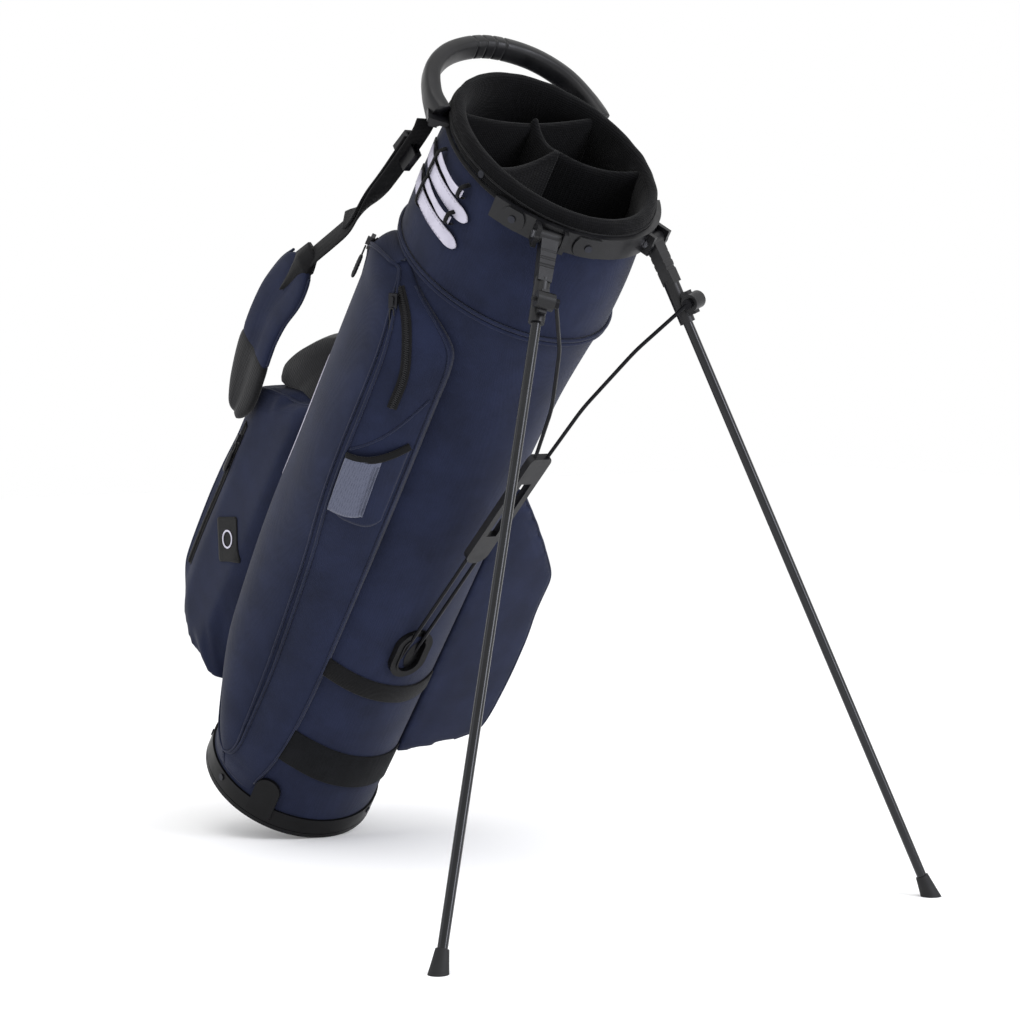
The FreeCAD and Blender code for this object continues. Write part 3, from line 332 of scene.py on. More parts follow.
def sheet(up, across, point):
    """Rows of points of a sheet: point takes the shares up it and across it, 0 to 1."""
    return [[point(k / up, c / across) for c in range(across + 1)] for k in range(up + 1)]


def panel(name, rows, material, thick=0.0, closed=False, replaces=()):
    """A sheet through rows of points; thick gives it a back."""
    columns = len(rows[0])
    verts = [p for row in rows for p in row]
    obj = piece(name, verts, grid_faces(len(rows), columns, closed), material, replaces)
    if thick:
        solid = obj.modifiers.new("Thickness", "SOLIDIFY")
        solid.thickness = thick
        solid.offset = -1
    return obj


def spaced(start, end, count=12):
    """count numbers from start to end, in even steps."""
    return [start + (end - start) * k / (count - 1) for k in range(count)]


def sample(points, count, closed=False):
    """count points evenly along a smooth line through the given ones."""
    pts = [Vector(p) for p in points]
    n = len(pts)
    spans = n if closed else n - 1
    fine = []
    per = 24
    for k in range(spans):
        p0 = pts[(k - 1) % n] if closed or k > 0 else pts[0] * 2 - pts[1]
        p1 = pts[k]
        p2 = pts[(k + 1) % n]
        p3 = pts[(k + 2) % n] if closed or k + 2 < n else pts[-1] * 2 - pts[-2]
        for i in range(per):
            t = i / per
            fine.append(0.5 * (2 * p1 + (p2 - p0) * t + (2 * p0 - 5 * p1 + 4 * p2 - p3) * t * t
                               + (3 * p1 - p0 - 3 * p2 + p3) * t**3))
    fine.append(pts[0] if closed else pts[-1])
    reach = [0.0]
    for a, b in zip(fine, fine[1:]):
        reach.append(reach[-1] + (b - a).length)
    result = []
    k = 0
    total = count if closed else count - 1
    for i in range(count):
        target = reach[-1] * i / total
        while k < len(reach) - 2 and reach[k + 1] < target:
            k += 1
        step = reach[k + 1] - reach[k]
        part = (target - reach[k]) / step if step > 0 else 0.0
        result.append(fine[k].lerp(fine[k + 1], min(max(part, 0.0), 1.0)))
    return result


def ring_section(radius, sides=10):
    return [(radius * math.cos(2 * math.pi * k / sides), radius * math.sin(2 * math.pi * k / sides))
            for k in range(sides)]


def strap_section(width, thick, corner=3):
    """Flat section with rounded edges: first number across, second out of the surface."""
    points = []
    radius = thick / 2
    for side in (1, -1):
        for k in range(corner + 1):
            turn = math.pi * k / corner - math.pi / 2
            points.append((side * (width / 2 - radius + radius * math.cos(turn)),
                           side * radius * math.sin(turn)))
    return points


def sweep_mesh(path, outward, section, closed=False, scale=None):
    """Vertices and faces of a section drawn along a path. outward gives each point's up."""
    verts = []
    n = len(path)
    for k, point in enumerate(path):
        ahead = path[(k + 1) % n] if closed or k < n - 1 else point
        behind = path[k - 1] if closed or k > 0 else point
        tangent = (ahead - behind).normalized()
        up = Vector(outward[k] if isinstance(outward, list) else outward(point, k))
        up = (up - tangent * up.dot(tangent)).normalized()
        across = up.cross(tangent)
        grow = scale(k / max(n - 1, 1)) if scale else (1.0, 1.0)
        for u, v in section:
            verts.append(point + across * (u * grow[0]) + up * (v * grow[1]))
    m = len(section)
    faces = grid_faces(n, m, True)
    if closed:
        faces += closing_faces(n, m)
    else:
        faces.append(tuple(range(m - 1, -1, -1)))
        faces.append(tuple((n - 1) * m + c for c in range(m)))
    return verts, faces


def sweep(name, path, outward, section, material, closed=False, scale=None, replaces=(),
          body="bag"):
    verts, faces = sweep_mesh(path, outward, section, closed, scale)
    return piece(name, verts, faces, material, replaces, body)


def piping(name, path, radius, outward=None, closed=False, sides=8, body="bag"):
    """A bead of cloth-covered cord along a path."""
    return sweep(name, path, outward or radial, ring_section(radius, sides), NAVY_PIPING, closed,
                 body=body)


def joined(parts):
    """Several (vertices, faces) lists as one."""
    verts, faces = [], []
    for some_verts, some_faces in parts:
        offset = len(verts)
        verts += some_verts
        faces += [tuple(i + offset for i in face) for face in some_faces]
    return verts, faces


def stitches(path, outward, length=0.0032, gap=0.0022, radius=0.00035):
    """Short raised threads along a path."""
    parts = []
    total = sum((b - a).length for a, b in zip(path, path[1:]))
    count = int(total / (length + gap))
    line = sample(path, count * 3 + 1)
    for k in range(count):
        run = line[3 * k:3 * k + 3]
        up = [Vector(outward(p, 0)) for p in run]
        parts.append(sweep_mesh(run, up, ring_section(radius, 5)))
    return joined(parts)

# %% [markdown]
# ## The camera, the light and the floor
# The view is from low down and a little to the legs' side of the long pocket, with a long
# lens. Soft boxes stand for a white studio: one large above and in front, a strong one
# to the right that gives the legs their long highlights, and a weak one at the left.

# %% Camera and studio
VIEW_AZIMUTH = math.radians(53.6)
VIEW_HEIGHT = math.radians(3.8)
VIEW_DISTANCE = 3.23
LENS = 107.0
SENSOR = 36.0
LIGHTS_AIM = Vector((0, 0, 0.42))
target = Vector((0.016, 0.061, 0.383))
towards_camera = Vector((math.sin(VIEW_AZIMUTH) * math.cos(VIEW_HEIGHT),
                         -math.cos(VIEW_AZIMUTH) * math.cos(VIEW_HEIGHT),
                         math.sin(VIEW_HEIGHT)))
camera_data = bpy.data.cameras.new("camera")
camera_data.lens = LENS
camera_data.sensor_width = SENSOR
camera = bpy.data.objects.new("camera", camera_data)
camera.location = target + towards_camera * VIEW_DISTANCE
camera.rotation_euler = towards_camera.to_track_quat("Z", "Y").to_euler()
bpy.context.scene.collection.objects.link(camera)
bpy.context.scene.camera = camera

world = bpy.data.worlds.new("white studio")
world.use_nodes = True
world.node_tree.nodes["Background"].inputs["Color"].default_value = linear("#ffffff")
world.node_tree.nodes["Background"].inputs["Strength"].default_value = 1.0
bpy.context.scene.world = world
bpy.context.scene.view_settings.view_transform = "Standard"


def soft_box(name, place, size, power, colour="#ffffff"):
    data = bpy.data.lights.new(name, "AREA")
    data.shape = "RECTANGLE"
    data.size, data.size_y = size
    data.energy = power
    data.color = linear(colour)[:3]
    lamp = bpy.data.objects.new(name, data)
    lamp.location = place
    aim = LIGHTS_AIM - Vector(place)
    lamp.rotation_euler = aim.to_track_quat("-Z", "Y").to_euler()
    bpy.context.scene.collection.objects.link(lamp)


right_hand = Vector((math.cos(VIEW_AZIMUTH), math.sin(VIEW_AZIMUTH), 0))
soft_box("top box", towards_camera * 1.2 + Vector((0, 0, 3.2)), (2.6, 2.0), 30)
soft_box("right box", right_hand * 2.6 + towards_camera * 1.6 + Vector((0, 0, 1.4)), (1.0, 2.4), 60,
         "#f2f4ff")
soft_box("left box", right_hand * -2.6 + towards_camera * 1.2 + Vector((0, 0, 1.2)), (1.0, 2.2), 8,
         "#e9ecff")

floor_mesh = bpy.data.meshes.new("studio_floor")
FLOOR = 6.0
floor_mesh.from_pydata([(-FLOOR, -FLOOR, 0), (FLOOR, -FLOOR, 0), (FLOOR, FLOOR, 0),
                        (-FLOOR, FLOOR, 0)], [], [(0, 1, 2, 3)])
floor_material, floor_tree = new_material("painted studio floor, matte")
floor_shader = add(floor_tree, "ShaderNodeBsdfPrincipled", Base_Color=linear("#ffffff"),
                   Roughness=0.9)
finish_material(floor_tree, floor_shader)
floor_mesh.materials.append(floor_material)
studio_floor = bpy.data.objects.new("studio_floor", floor_mesh)
bpy.context.scene.collection.objects.link(studio_floor)
print("camera", [round(v, 3) for v in camera.location])

# %% [markdown]
# ## The fabric tube
# The tube is one wrapped panel of softshell over a foam layer. It widens upwards to the mouth.
# It hangs between its stays, so it is never a perfect cylinder: shallow folds run along it.

# %% Shape of the tube and the collar
SEAM_Z = 0.718
SEAM_A = 0.1265
SEAM_B = 0.1095
RIM_Z = 0.846
RIM_TILT = math.tan(math.radians(4.2))
MOUTH_X = -0.008
MOUTH_A = 0.123
MOUTH_B = 0.105
TUBE_X = [(0.01, 0), (0.40, 0), (0.60, -0.002), (0.675, -0.004), (SEAM_Z, MOUTH_X)]
TUBE_A = [(0.01, 0.0972), (0.40, 0.099), (0.60, 0.103), (0.675, 0.113), (SEAM_Z, 0.126)]
TUBE_B = [(0.01, 0.0972), (0.40, 0.099), (0.60, 0.101), (0.675, 0.105), (SEAM_Z, 0.109)]
FOLD_DEPTH = 0.0012


def tube_radius(angle, height):
    """Radius of the tube about the bag's axis at an angle, with its shallow folds."""
    turn = math.radians(angle)
    a = blend_values(TUBE_A, height)
    b = blend_values(TUBE_B, height)
    shift = blend_values(TUBE_X, height) * math.cos(turn)
    smooth = a * b / math.sqrt((b * math.cos(turn))**2 + (a * math.sin(turn))**2) + shift
    fold = noise.noise(Vector((math.cos(turn) * 2.2, math.sin(turn) * 2.2, height * 3.5)))
    fade = min(1.0, (height - 0.01) / 0.06, (SEAM_Z - height) / 0.04)
    return smooth + fold * FOLD_DEPTH * max(fade, 0.0)


def tube_point(angle, height, out=0.0):
    return around(angle, tube_radius(angle, height) + out, height)


def radial(point, k=0):
    """Straight out from the bag's axis."""
    return Vector((point.x, point.y, 0))


def mouth_point(angle, height, out=0.0):
    """Point on the sloping oval of the mouth, whose height is measured at its middle."""
    turn = math.radians(angle)
    x = (MOUTH_A + out) * math.cos(turn)
    return Vector((MOUTH_X + x, (MOUTH_B + out) * math.sin(turn), height - x * RIM_TILT))


def seam_point(angle, out=0.0):
    turn = math.radians(angle)
    return Vector((MOUTH_X + (SEAM_A + out) * math.cos(turn), (SEAM_B + out) * math.sin(turn),
                   SEAM_Z))


ROUND = 160
TURN = [360.0 * k / ROUND for k in range(ROUND)]
TUBE_LOW = 0.0115
LINING_LOW = 0.0135
LINING_TOP = 0.7135
LINING_IN = 0.0040
tube_rows = [[tube_point(a, z) for a in TURN] for z in spaced(TUBE_LOW, SEAM_Z, 81)]
tube = panel("tube_fabric", tube_rows, NAVY, 0.0022, True, ["body_shell"])
lining_rows = [[tube_point(a, z, -LINING_IN) for a in TURN]
               for z in spaced(LINING_LOW, LINING_TOP, 41)]
panel("tube_lining", lining_rows, FLEECE, 0.001, True)
print("tube", len(tube.data.vertices), "points")

# %% [markdown]
# ## The collar and the cuff on the mouth
# A separate panel, sewn on with a piped seam, carries the mouth. The mouth is a moulded ring
# wrapped in black cloth, with a cord along its lower edge and a thick brushed cuff on top, so
# that clubs don't rub.

# %% Collar, piping and cuff
COLLAR_BULGE = 0.0022
COLLAR_RIPPLE = 0.0009


def collar_point(angle, share, out=0.0):
    """share runs 0 to 1 from the piped seam to the ring."""
    spot = seam_point(angle).lerp(mouth_point(angle, RIM_Z), share)
    return spot + radial(spot).normalized() * (COLLAR_BULGE * math.sin(math.pi * share) + out)


def collar_fabric_point(angle, share):
    ripple = COLLAR_RIPPLE * noise.noise(Vector((angle / 26.0, share * 2.0, 3.0)))
    return collar_point(angle, share, ripple * math.sin(math.pi * share))


collar_rows = [[collar_fabric_point(a, t) for a in TURN] for t in spaced(0.0, 1.0, 31)]
panel("collar_fabric", collar_rows, NAVY, 0.0022, True, ["collar_panel"])
COLLAR_LINING_IN = 0.0062
inner_rows = [[mouth_point(a, z, -COLLAR_LINING_IN) for a in TURN]
              for z in spaced(0.700, 0.850, 13)]
panel("collar_lining", inner_rows, FLEECE, 0.001, True)

SEAM_CORD = 0.0019
FOLD_WIDE = 0.0045
seam_path = [seam_point(a, 0.0016) for a in TURN]
piping("seam_piping", seam_path, SEAM_CORD, closed=True, sides=10)
sweep("seam_fold", [p - Vector((0, 0, FOLD_WIDE)) for p in seam_path], radial,
      strap_section(FOLD_WIDE, 0.0018), NAVY, closed=True)

CUFF_SECTION = [(0.0020, 0.845), (0.0022, 0.854), (0.0018, 0.861), (-0.0005, 0.8655),
                (-0.0050, 0.8675), (-0.0095, 0.8660), (-0.0122, 0.861), (-0.0130, 0.852),
                (-0.0120, 0.840), (-0.0090, 0.826), (-0.0065, 0.812), (-0.0050, 0.812),
                (-0.0042, 0.830), (-0.0030, 0.8445)]
CUFF_SOFT_FROM = 0.855
cuff_verts = []
for a in TURN:
    soft = 0.0007 * noise.noise(Vector((a / 9.0, 0.0, 7.0)))
    cuff_verts += [mouth_point(a, z + (soft if z > CUFF_SOFT_FROM else 0), out + soft)
                   for out, z in CUFF_SECTION]
cuff_faces = grid_faces(ROUND, len(CUFF_SECTION), True) + closing_faces(ROUND, len(CUFF_SECTION))
cuff = piece("mouth_cuff", cuff_verts, cuff_faces, FLEECE, ["collar_padding", "collar_ring"])
cuff.modifiers.new("Round", "SUBSURF").render_levels = 1
for name, height, radius in (("mouth_edge_cord", 0.8440, 0.0022),
                             ("mouth_seam_cord", 0.8545, 0.0011)):
    cord_path = [mouth_point(a, height, 0.0028) for a in TURN]
    sweep(name, cord_path, radial, ring_section(radius), BINDING, closed=True)
print("cuff", len(cuff.data.vertices), "points")

# %% [markdown]
# ## Dividers
# Each divider is a foam board in a fleece sleeve: thick, with a round top that dips a little
# between its ends. They are drawn as a section swept from end to end.

# %% Fleece dividers
DIVIDER_LOW = 0.520
DIVIDER_TOP = 0.855
DIVIDER_HALF = 0.0048
DIVIDER_DIP = 0.007
DIVIDER_RISE = 0.006
DIVIDER_LEVELS = (0.62, 0.72, 0.80)
# Half of the rounded top: (share of the half thickness, distance below the crown).
DIVIDER_CROWN = [(1, 0.012), (0.95, 0.005), (0.6, 0.0012)]


def divider(name, start, end, node, rise=(1.0, 1.0)):
    """A board between two (x, y) points; rise lifts each end of its top towards the cuff."""
    a, b = Vector((*start, 0)), Vector((*end, 0))
    run = (b - a).normalized()
    side = Vector((-run.y, run.x, 0))
    steps = 24
    rows = []
    for k in range(steps + 1):
        t = k / steps
        spot = a.lerp(b, t)
        top = DIVIDER_TOP - (spot.x - MOUTH_X) * RIM_TILT - DIVIDER_DIP * math.sin(math.pi * t)
        top += DIVIDER_RISE * (rise[0] * (1 - t)**3 + rise[1] * t**3)
        half = ([(1, z) for z in (DIVIDER_LOW, *DIVIDER_LEVELS)]
                + [(u, top - down) for u, down in DIVIDER_CROWN])
        section = [(-u, z) for u, z in half] + [(0, top)] + half[::-1]
        row = []
        for u, z in section:
            puff = 1 + 0.25 * noise.noise(Vector((t * 3, z * 20, u + len(name))))
            row.append(Vector((spot.x, spot.y, z)) + side * (u * DIVIDER_HALF * puff))
        rows.append(row)
    piece(name, *capped(rows), FLEECE, [node])


JOIN = (-0.016, 0.010)
CROSS_X = -0.066
divider("cross_divider", (CROSS_X, -0.0895), (CROSS_X, 0.0895), "divider_cross")
divider("stem_divider", (CROSS_X, JOIN[1]), JOIN, "divider_stem", (0.3, 0.0))
divider("left_arm_divider", JOIN, (0.022, -0.0935), "divider_arm_left", (0.0, 1.0))
divider("right_arm_divider", JOIN, (0.022, 0.0935), "divider_arm_right", (0.0, 1.0))

# %% [markdown]
# ## The grab handle
# One bowed, moulded grip between two roots that flare into the ring. Its section is a rounded
# rectangle, and four thin grooves cross the crown. The grooves are real steps in the sweep.

# %% Handle
HANDLE = [(-0.078, -0.099, 0.850), (-0.104, -0.0975, 0.860), (-0.136, -0.082, 0.869),
          (-0.160, -0.048, 0.876), (-0.170, 0.0, 0.879)]
handle_points = HANDLE + [(x, -y, z) for x, y, z in reversed(HANDLE[:-1])]
handle_path = sample(handle_points, 420)
GROOVES = (0.44, 0.48, 0.52, 0.56)


def handle_scale(t):
    """Flared at the roots, with narrow grooves at the crown."""
    flare = 1.0 + 0.55 * math.exp(-(min(t, 1 - t) / 0.06)**2)
    groove = sum(math.exp(-((t - g) / 0.0028)**2) for g in GROOVES)
    return (flare * (1 - 0.10 * groove), (1.0 + 0.1 * (flare - 1)) * (1 - 0.10 * groove))


grip_section = [(0.0116 * math.copysign(abs(math.cos(q))**0.6, math.cos(q)),
                 0.0088 * math.copysign(abs(math.sin(q))**0.6, math.sin(q)))
                for q in [2 * math.pi * k / 24 for k in range(24)]]
handle_out = [Vector((p.x + 0.03, p.y, 0.0)) for p in handle_path]
handle = sweep("grab_handle", handle_path, handle_out, grip_section, PLASTIC,
               scale=handle_scale, replaces=["top_handle"])
print("handle", len(handle.data.vertices), "points")

# %% [markdown]
# ## The long side pocket
# A tall surfboard-shaped face, edged with double piping, stands off the tube on a sewn gusset.
# It is modelled as a height above the tube: nothing at the sewn-down edges, full depth inside
# the piping. So the folds of the tube carry on under it, and it can't gape.

# %% Shape of the long pocket
PIPE_FRONT = [(0.055, -90), (0.062, -84), (0.080, -80), (0.11, -79), (0.20, -77), (0.36, -76),
              (0.49, -76), (0.60, -77), (0.648, -80), (0.680, -87), (0.698, -95), (0.7045, -103)]
PIPE_REAR = [(0.055, -90), (0.062, -96), (0.080, -103), (0.11, -111), (0.14, -120), (0.20, -131),
             (0.36, -143), (0.49, -145), (0.60, -144), (0.648, -140), (0.680, -132),
             (0.698, -118), (0.7045, -103)]
FOOT_FRONT = [(0.030, -62), (0.10, -52), (0.18, -48), (0.30, -47.5), (0.45, -48), (0.60, -49.5),
              (0.645, -50), (0.668, -54), (0.685, -67), (0.700, -88), (0.712, -103)]
FOOT_REAR = [(0.030, -116), (0.08, -128), (0.14, -141), (0.20, -149), (0.30, -152), (0.60, -153),
             (0.67, -152), (0.698, -143), (0.708, -122), (0.712, -103)]
EDGE_FRONT = [(0.030, 0.001), (0.055, 0.009), (0.14, 0.012), (0.22, 0.016), (0.36, 0.031),
              (0.46, 0.045), (0.56, 0.047), (0.64, 0.039), (0.69, 0.021), (0.712, 0.004)]
EDGE_REAR = [(0.030, 0.001), (0.055, 0.009), (0.10, 0.014), (0.22, 0.025), (0.36, 0.032),
             (0.60, 0.033), (0.66, 0.030), (0.695, 0.026), (0.712, 0.005)]
CROWN = [(0.030, 0.001), (0.055, 0.011), (0.09, 0.019), (0.13, 0.026), (0.20, 0.035), (0.36, 0.041),
         (0.50, 0.042), (0.60, 0.038), (0.66, 0.032), (0.69, 0.026), (0.712, 0.005)]
POCKET_LOW = 0.030
POCKET_HIGH = 0.712
ACROSS = 110
FRONT_SHARE = 0.24
REAR_SHARE = 0.82
GUSSET_STEP = 0.26


def long_pocket_point(u, height, out=0.0):
    """u runs 0 to 1 from the front foot over the piping to the rear foot."""
    front, rear = blend_values(FOOT_FRONT, height), blend_values(FOOT_REAR, height)
    edge_height = min(max(height, 0.055), 0.7045)
    pipe_front = blend_values(PIPE_FRONT, edge_height)
    pipe_rear = blend_values(PIPE_REAR, edge_height)
    edge_front, edge_rear = blend_values(EDGE_FRONT, height), blend_values(EDGE_REAR, height)
    crown = blend_values(CROWN, height)
    if u < FRONT_SHARE:
        t = u / FRONT_SHARE
        angle = front + (pipe_front - front) * t
        step = min(t / 0.05, 1.0) * GUSSET_STEP
        lift = edge_front * (step + (1 - step) * t + 0.06 * math.sin(math.pi * t))
    elif u > REAR_SHARE:
        t = (1 - u) / (1 - REAR_SHARE)
        angle = rear + (pipe_rear - rear) * t
        lift = edge_rear * t**0.45
    else:
        t = (u - FRONT_SHARE) / (REAR_SHARE - FRONT_SHARE)
        angle = pipe_front + (pipe_rear - pipe_front) * t
        straight = edge_front + (edge_rear - edge_front) * t
        middle = (edge_front + edge_rear) / 2
        lift = straight + max(crown - middle, 0.0) * math.sin(math.pi * t)**0.7
    crease = 0.0012 * noise.noise(Vector((angle / 20.0, height * 7.0, 11.0)))
    base = tube_radius(angle, min(height, SEAM_Z - 0.001))
    return around(angle, base + lift + crease * min(1.0, lift / 0.01) + out - 0.0006, height)


def curve_steps(low, high, count):
    """Heights that crowd towards both ends."""
    return [low + (high - low) * (0.5 - 0.5 * math.cos(math.pi * k / count)) * 0.6
            + (high - low) * k / count * 0.4 for k in range(count + 1)]


pocket_heights = curve_steps(POCKET_LOW, POCKET_HIGH, 150)
pocket_rows = [[long_pocket_point(k / ACROSS, z) for k in range(ACROSS + 1)]
               for z in pocket_heights]
long_pocket = panel("long_pocket", pocket_rows, NAVY, 0.0020, False, ["side_pocket"])
print("long pocket", len(long_pocket.data.vertices), "points")

# %% [markdown]
# Piping is a cord in a strip of the same cloth, sewn into the seam. Here two beads run side by
# side down the front edge, round the foot of the pocket and up the rear edge.

# %% Piping on the long pocket
def outline_of_face(shift):
    """Closed path round the pocket's face; shift moves it in or out of the face, in u."""
    heights = curve_steps(0.0560, 0.7035, 90)
    front = [long_pocket_point(FRONT_SHARE + shift, z, 0.0011) for z in heights]
    rear = [long_pocket_point(REAR_SHARE - shift, z, 0.0011) for z in reversed(heights)]
    return sample(front + rear, 520, closed=True)


for name, shift, radius in (("pocket_piping_outer", -0.008, 0.0017),
                            ("pocket_piping_inner", 0.020, 0.0013)):
    piping(name, outline_of_face(shift), radius, closed=True)

# %% [markdown]
# ## Box pockets
# Two deep pockets hang on the lower half of the tube. Each starts as a plain closed form with
# the tube's curve on its inner side. Voxel remeshing makes its surface even, then a short cloth
# simulation with pressure fills it, as the foam in the real panels does.

# %% Filling a sewn form with cloth simulation
FRAMES = 20
VOXEL = 0.005
PRESSURE = 4.0
MOST_MOVE = 0.007


def inflate(obj, sewn):
    """Evens the mesh, blows it up as cloth, and caps how far any point may move. sewn says
    whether a point of the upright frame stays put."""
    scene = bpy.context.scene
    even = obj.modifiers.new("Even", "REMESH")
    even.mode = "VOXEL"
    even.voxel_size = VOXEL
    depsgraph = bpy.context.evaluated_depsgraph_get()
    mesh = bpy.data.meshes.new_from_object(obj.evaluated_get(depsgraph))
    obj.modifiers.clear()
    obj.data = mesh
    start = [v.co.copy() for v in mesh.vertices]
    back = BAG.inverted()
    group = obj.vertex_groups.new(name="sewn")
    group.add([v.index for v in mesh.vertices if sewn(back @ v.co)], 1.0, "REPLACE")
    cloth = obj.modifiers.new("Cloth", "CLOTH")
    cloth.settings.quality = 4
    cloth.settings.mass = 0.35
    cloth.settings.tension_stiffness = 12
    cloth.settings.compression_stiffness = 12
    cloth.settings.bending_stiffness = 0.6
    cloth.settings.use_pressure = True
    cloth.settings.uniform_pressure_force = PRESSURE
    cloth.settings.effector_weights.gravity = 0
    cloth.collision_settings.use_collision = False
    cloth.settings.vertex_group_mass = "sewn"
    cloth.point_cache.frame_start = 1
    cloth.point_cache.frame_end = FRAMES
    for step in range(1, FRAMES + 1):
        scene.frame_set(step)
    depsgraph = bpy.context.evaluated_depsgraph_get()
    moved = [v.co.copy() for v in obj.evaluated_get(depsgraph).data.vertices]
    obj.modifiers.clear()
    scene.frame_set(1)
    for v, before, after in zip(mesh.vertices, start, moved):
        step = after - before
        if step.length > MOST_MOVE:
            step = step.normalized() * MOST_MOVE
        v.co = before + step
    soften(mesh, 2)
    for polygon in mesh.polygons:
        polygon.use_smooth = True
    smooth = obj.modifiers.new("Smooth", "SUBSURF")
    smooth.levels = smooth.render_levels = 1


def soften(mesh, times):
    """Relaxes the steps that voxels leave."""
    work = bmesh.new()
    work.from_mesh(mesh)
    for _ in range(times):
        bmesh.ops.smooth_vert(work, verts=work.verts, factor=0.4, use_axis_x=True, use_axis_y=True,
                              use_axis_z=True)
    work.to_mesh(mesh)
    work.free()


def surface_of(obj):
    """Search tree of an object's mesh in the upright frame."""
    back = BAG.inverted()
    return BVHTree.FromPolygons([back @ v.co for v in obj.data.vertices],
                                [tuple(p.vertices) for p in obj.data.polygons])


def on_surface(tree, point, out=0.0):
    """Nearest point of a surface, raised by out, with the direction away from it."""
    spot, normal = tree.find_nearest(Vector(point))[:2]
    return spot + normal * out, normal


EVENING_ROUNDS = 50


def laid_on(tree, points, count, out, closed=False):
    """A smooth path laid on a surface, and the outward direction at each point."""
    spots = [on_surface(tree, p, out) for p in sample(points, count, closed)]
    path, ups = [s[0] for s in spots], [s[1] for s in spots]
    for _ in range(EVENING_ROUNDS):
        path, ups = evened(path, closed), evened(ups, closed)
    return path, ups


def evened(line, closed):
    """Each point moved to the middle of its neighbours, but for the ends of an open line."""
    last = len(line) - 1
    return [line[k] if not closed and k in (0, last)
            else (line[k - 1] + line[k] * 2 + line[(k + 1) % (last + 1)]) / 4
            for k in range(last + 1)]


# %% Back and right pockets
SEWN_TO_TUBE = 0.104
SEAM_REACH = 0.007
SLOPES_FROM = 0.105
LEVELS = 26


def box_pocket(name, node, outline, low, high, slope, seam):
    """outline: (x, y) points round the pocket; low and high: heights as functions of (x, y)."""
    points = sample([(x, y, 0) for x, y in outline], 96, closed=True)
    rows = []
    for k in range(LEVELS + 1):
        pull = slope(k / LEVELS)
        row = []
        for p in points:
            z = low(p.x, p.y) + (high(p.x, p.y) - low(p.x, p.y)) * (k / LEVELS)
            row.append(Vector((p.x * pull if abs(p.x) > SLOPES_FROM else p.x,
                               p.y * pull if abs(p.y) > SLOPES_FROM else p.y, z)))
        rows.append(row)
    obj = piece(name, *capped(rows), NAVY, [node])
    inflate(obj, lambda p: math.hypot(p.x, p.y) < SEWN_TO_TUBE or seam(p) < SEAM_REACH)
    return obj


TUBE_SIDE = 0.0985


def inner_arc(start, step):
    """Seven points round the tube, from one edge of a pocket's inner side to the other."""
    return [around(start + step * k, TUBE_SIDE, 0)[:2] for k in range(7)]


BACK_OUTLINE = ([(-0.078, 0.0990), (-0.130, 0.1005), (-0.188, 0.1010), (-0.2000, 0.099),
                 (-0.2030, 0.088), (-0.2040, 0.040), (-0.2045, 0.0), (-0.2040, -0.040),
                 (-0.2030, -0.088), (-0.2000, -0.099), (-0.188, -0.1010), (-0.130, -0.1005),
                 (-0.078, -0.0990)] + inner_arc(225, -15))


def back_low(x, y):
    reach = min(max((-x - 0.10) / 0.10, 0.0), 1.0)
    return 0.090 + 0.075 * reach**2.2


def back_high(x, y):
    return 0.429 + (x + 0.187) * 0.528


def back_slope(t):
    return 1.0 + 0.03 * math.sin(math.pi * min(t * 1.4, 1.0)) - 0.035 * t


RIGHT_OUTLINE = ([(0.070, 0.074), (0.0715, 0.130), (0.0705, 0.176), (0.066, 0.1860),
                  (0.030, 0.1895), (-0.010, 0.1905), (-0.055, 0.1885), (-0.070, 0.183),
                  (-0.0745, 0.172), (-0.0755, 0.130), (-0.073, 0.098)] + inner_arc(132, -14))


def right_low(x, y):
    reach = min(max((y - 0.11) / 0.08, 0.0), 1.0)
    return 0.094 + 0.034 * reach**3


def right_high(x, y):
    reach = min(max((y - 0.085) / 0.105, 0.0), 1.0)
    return 0.478 - 0.135 * reach**1.3


def right_slope(t):
    return 1.0 + 0.035 * math.sin(math.pi * min(t * 1.3, 1.0)) - 0.02 * t


def back_seam(p):
    """Distance from the piped edges of the rear pocket, which stay put as it fills."""
    return math.hypot(min(-0.194 - p.x, 0), abs(p.y) - 0.101)


def right_seam(p):
    edge = min(abs(p.x - 0.071), abs(p.x + 0.0755))
    return math.hypot(edge, min(p.y - 0.178, 0))


back_box = box_pocket("rear_box_pocket", "back_pocket", BACK_OUTLINE, back_low, back_high,
                      back_slope, back_seam)
right_box = box_pocket("right_box_pocket", "right_pocket", RIGHT_OUTLINE, right_low, right_high,
                       right_slope, right_seam)
back_skin = surface_of(back_box)
right_skin = surface_of(right_box)
print("box pockets", len(back_box.data.vertices), len(right_box.data.vertices))


BOX_PIPING = 0.0016
PIPING_SUNK = 0.35


def edge_piping(name, skin, points):
    """Piping on a pocket, sunk a little into its cloth."""
    path, ups = laid_on(skin, points, 260, -BOX_PIPING * PIPING_SUNK)
    piping(name, path, BOX_PIPING, ups)


for side, label in ((-1, "left"), (1, "right")):
    y = side * 0.101
    top = [(x, y, back_high(x, y)) for x in spaced(-0.082, -0.198)]
    edge = [(-0.200, y, z) for z in spaced(0.405, 0.175)]
    bottom = [(x, y, back_low(x, y)) for x in spaced(-0.196, -0.172)]
    edge_piping("rear_box_piping_" + label, back_skin, top + edge + bottom)
for x, label in ((0.0715, "front"), (-0.0755, "rear")):
    top = [(x, y, right_high(x, y)) for y in spaced(0.088, 0.182)]
    edge = [(x, 0.188, z) for z in spaced(0.325, 0.150)]
    bottom = [(x, y, right_low(x, y)) for y in spaced(0.182, 0.150)]
    edge_piping("right_box_piping_" + label, right_skin, top + edge + bottom)

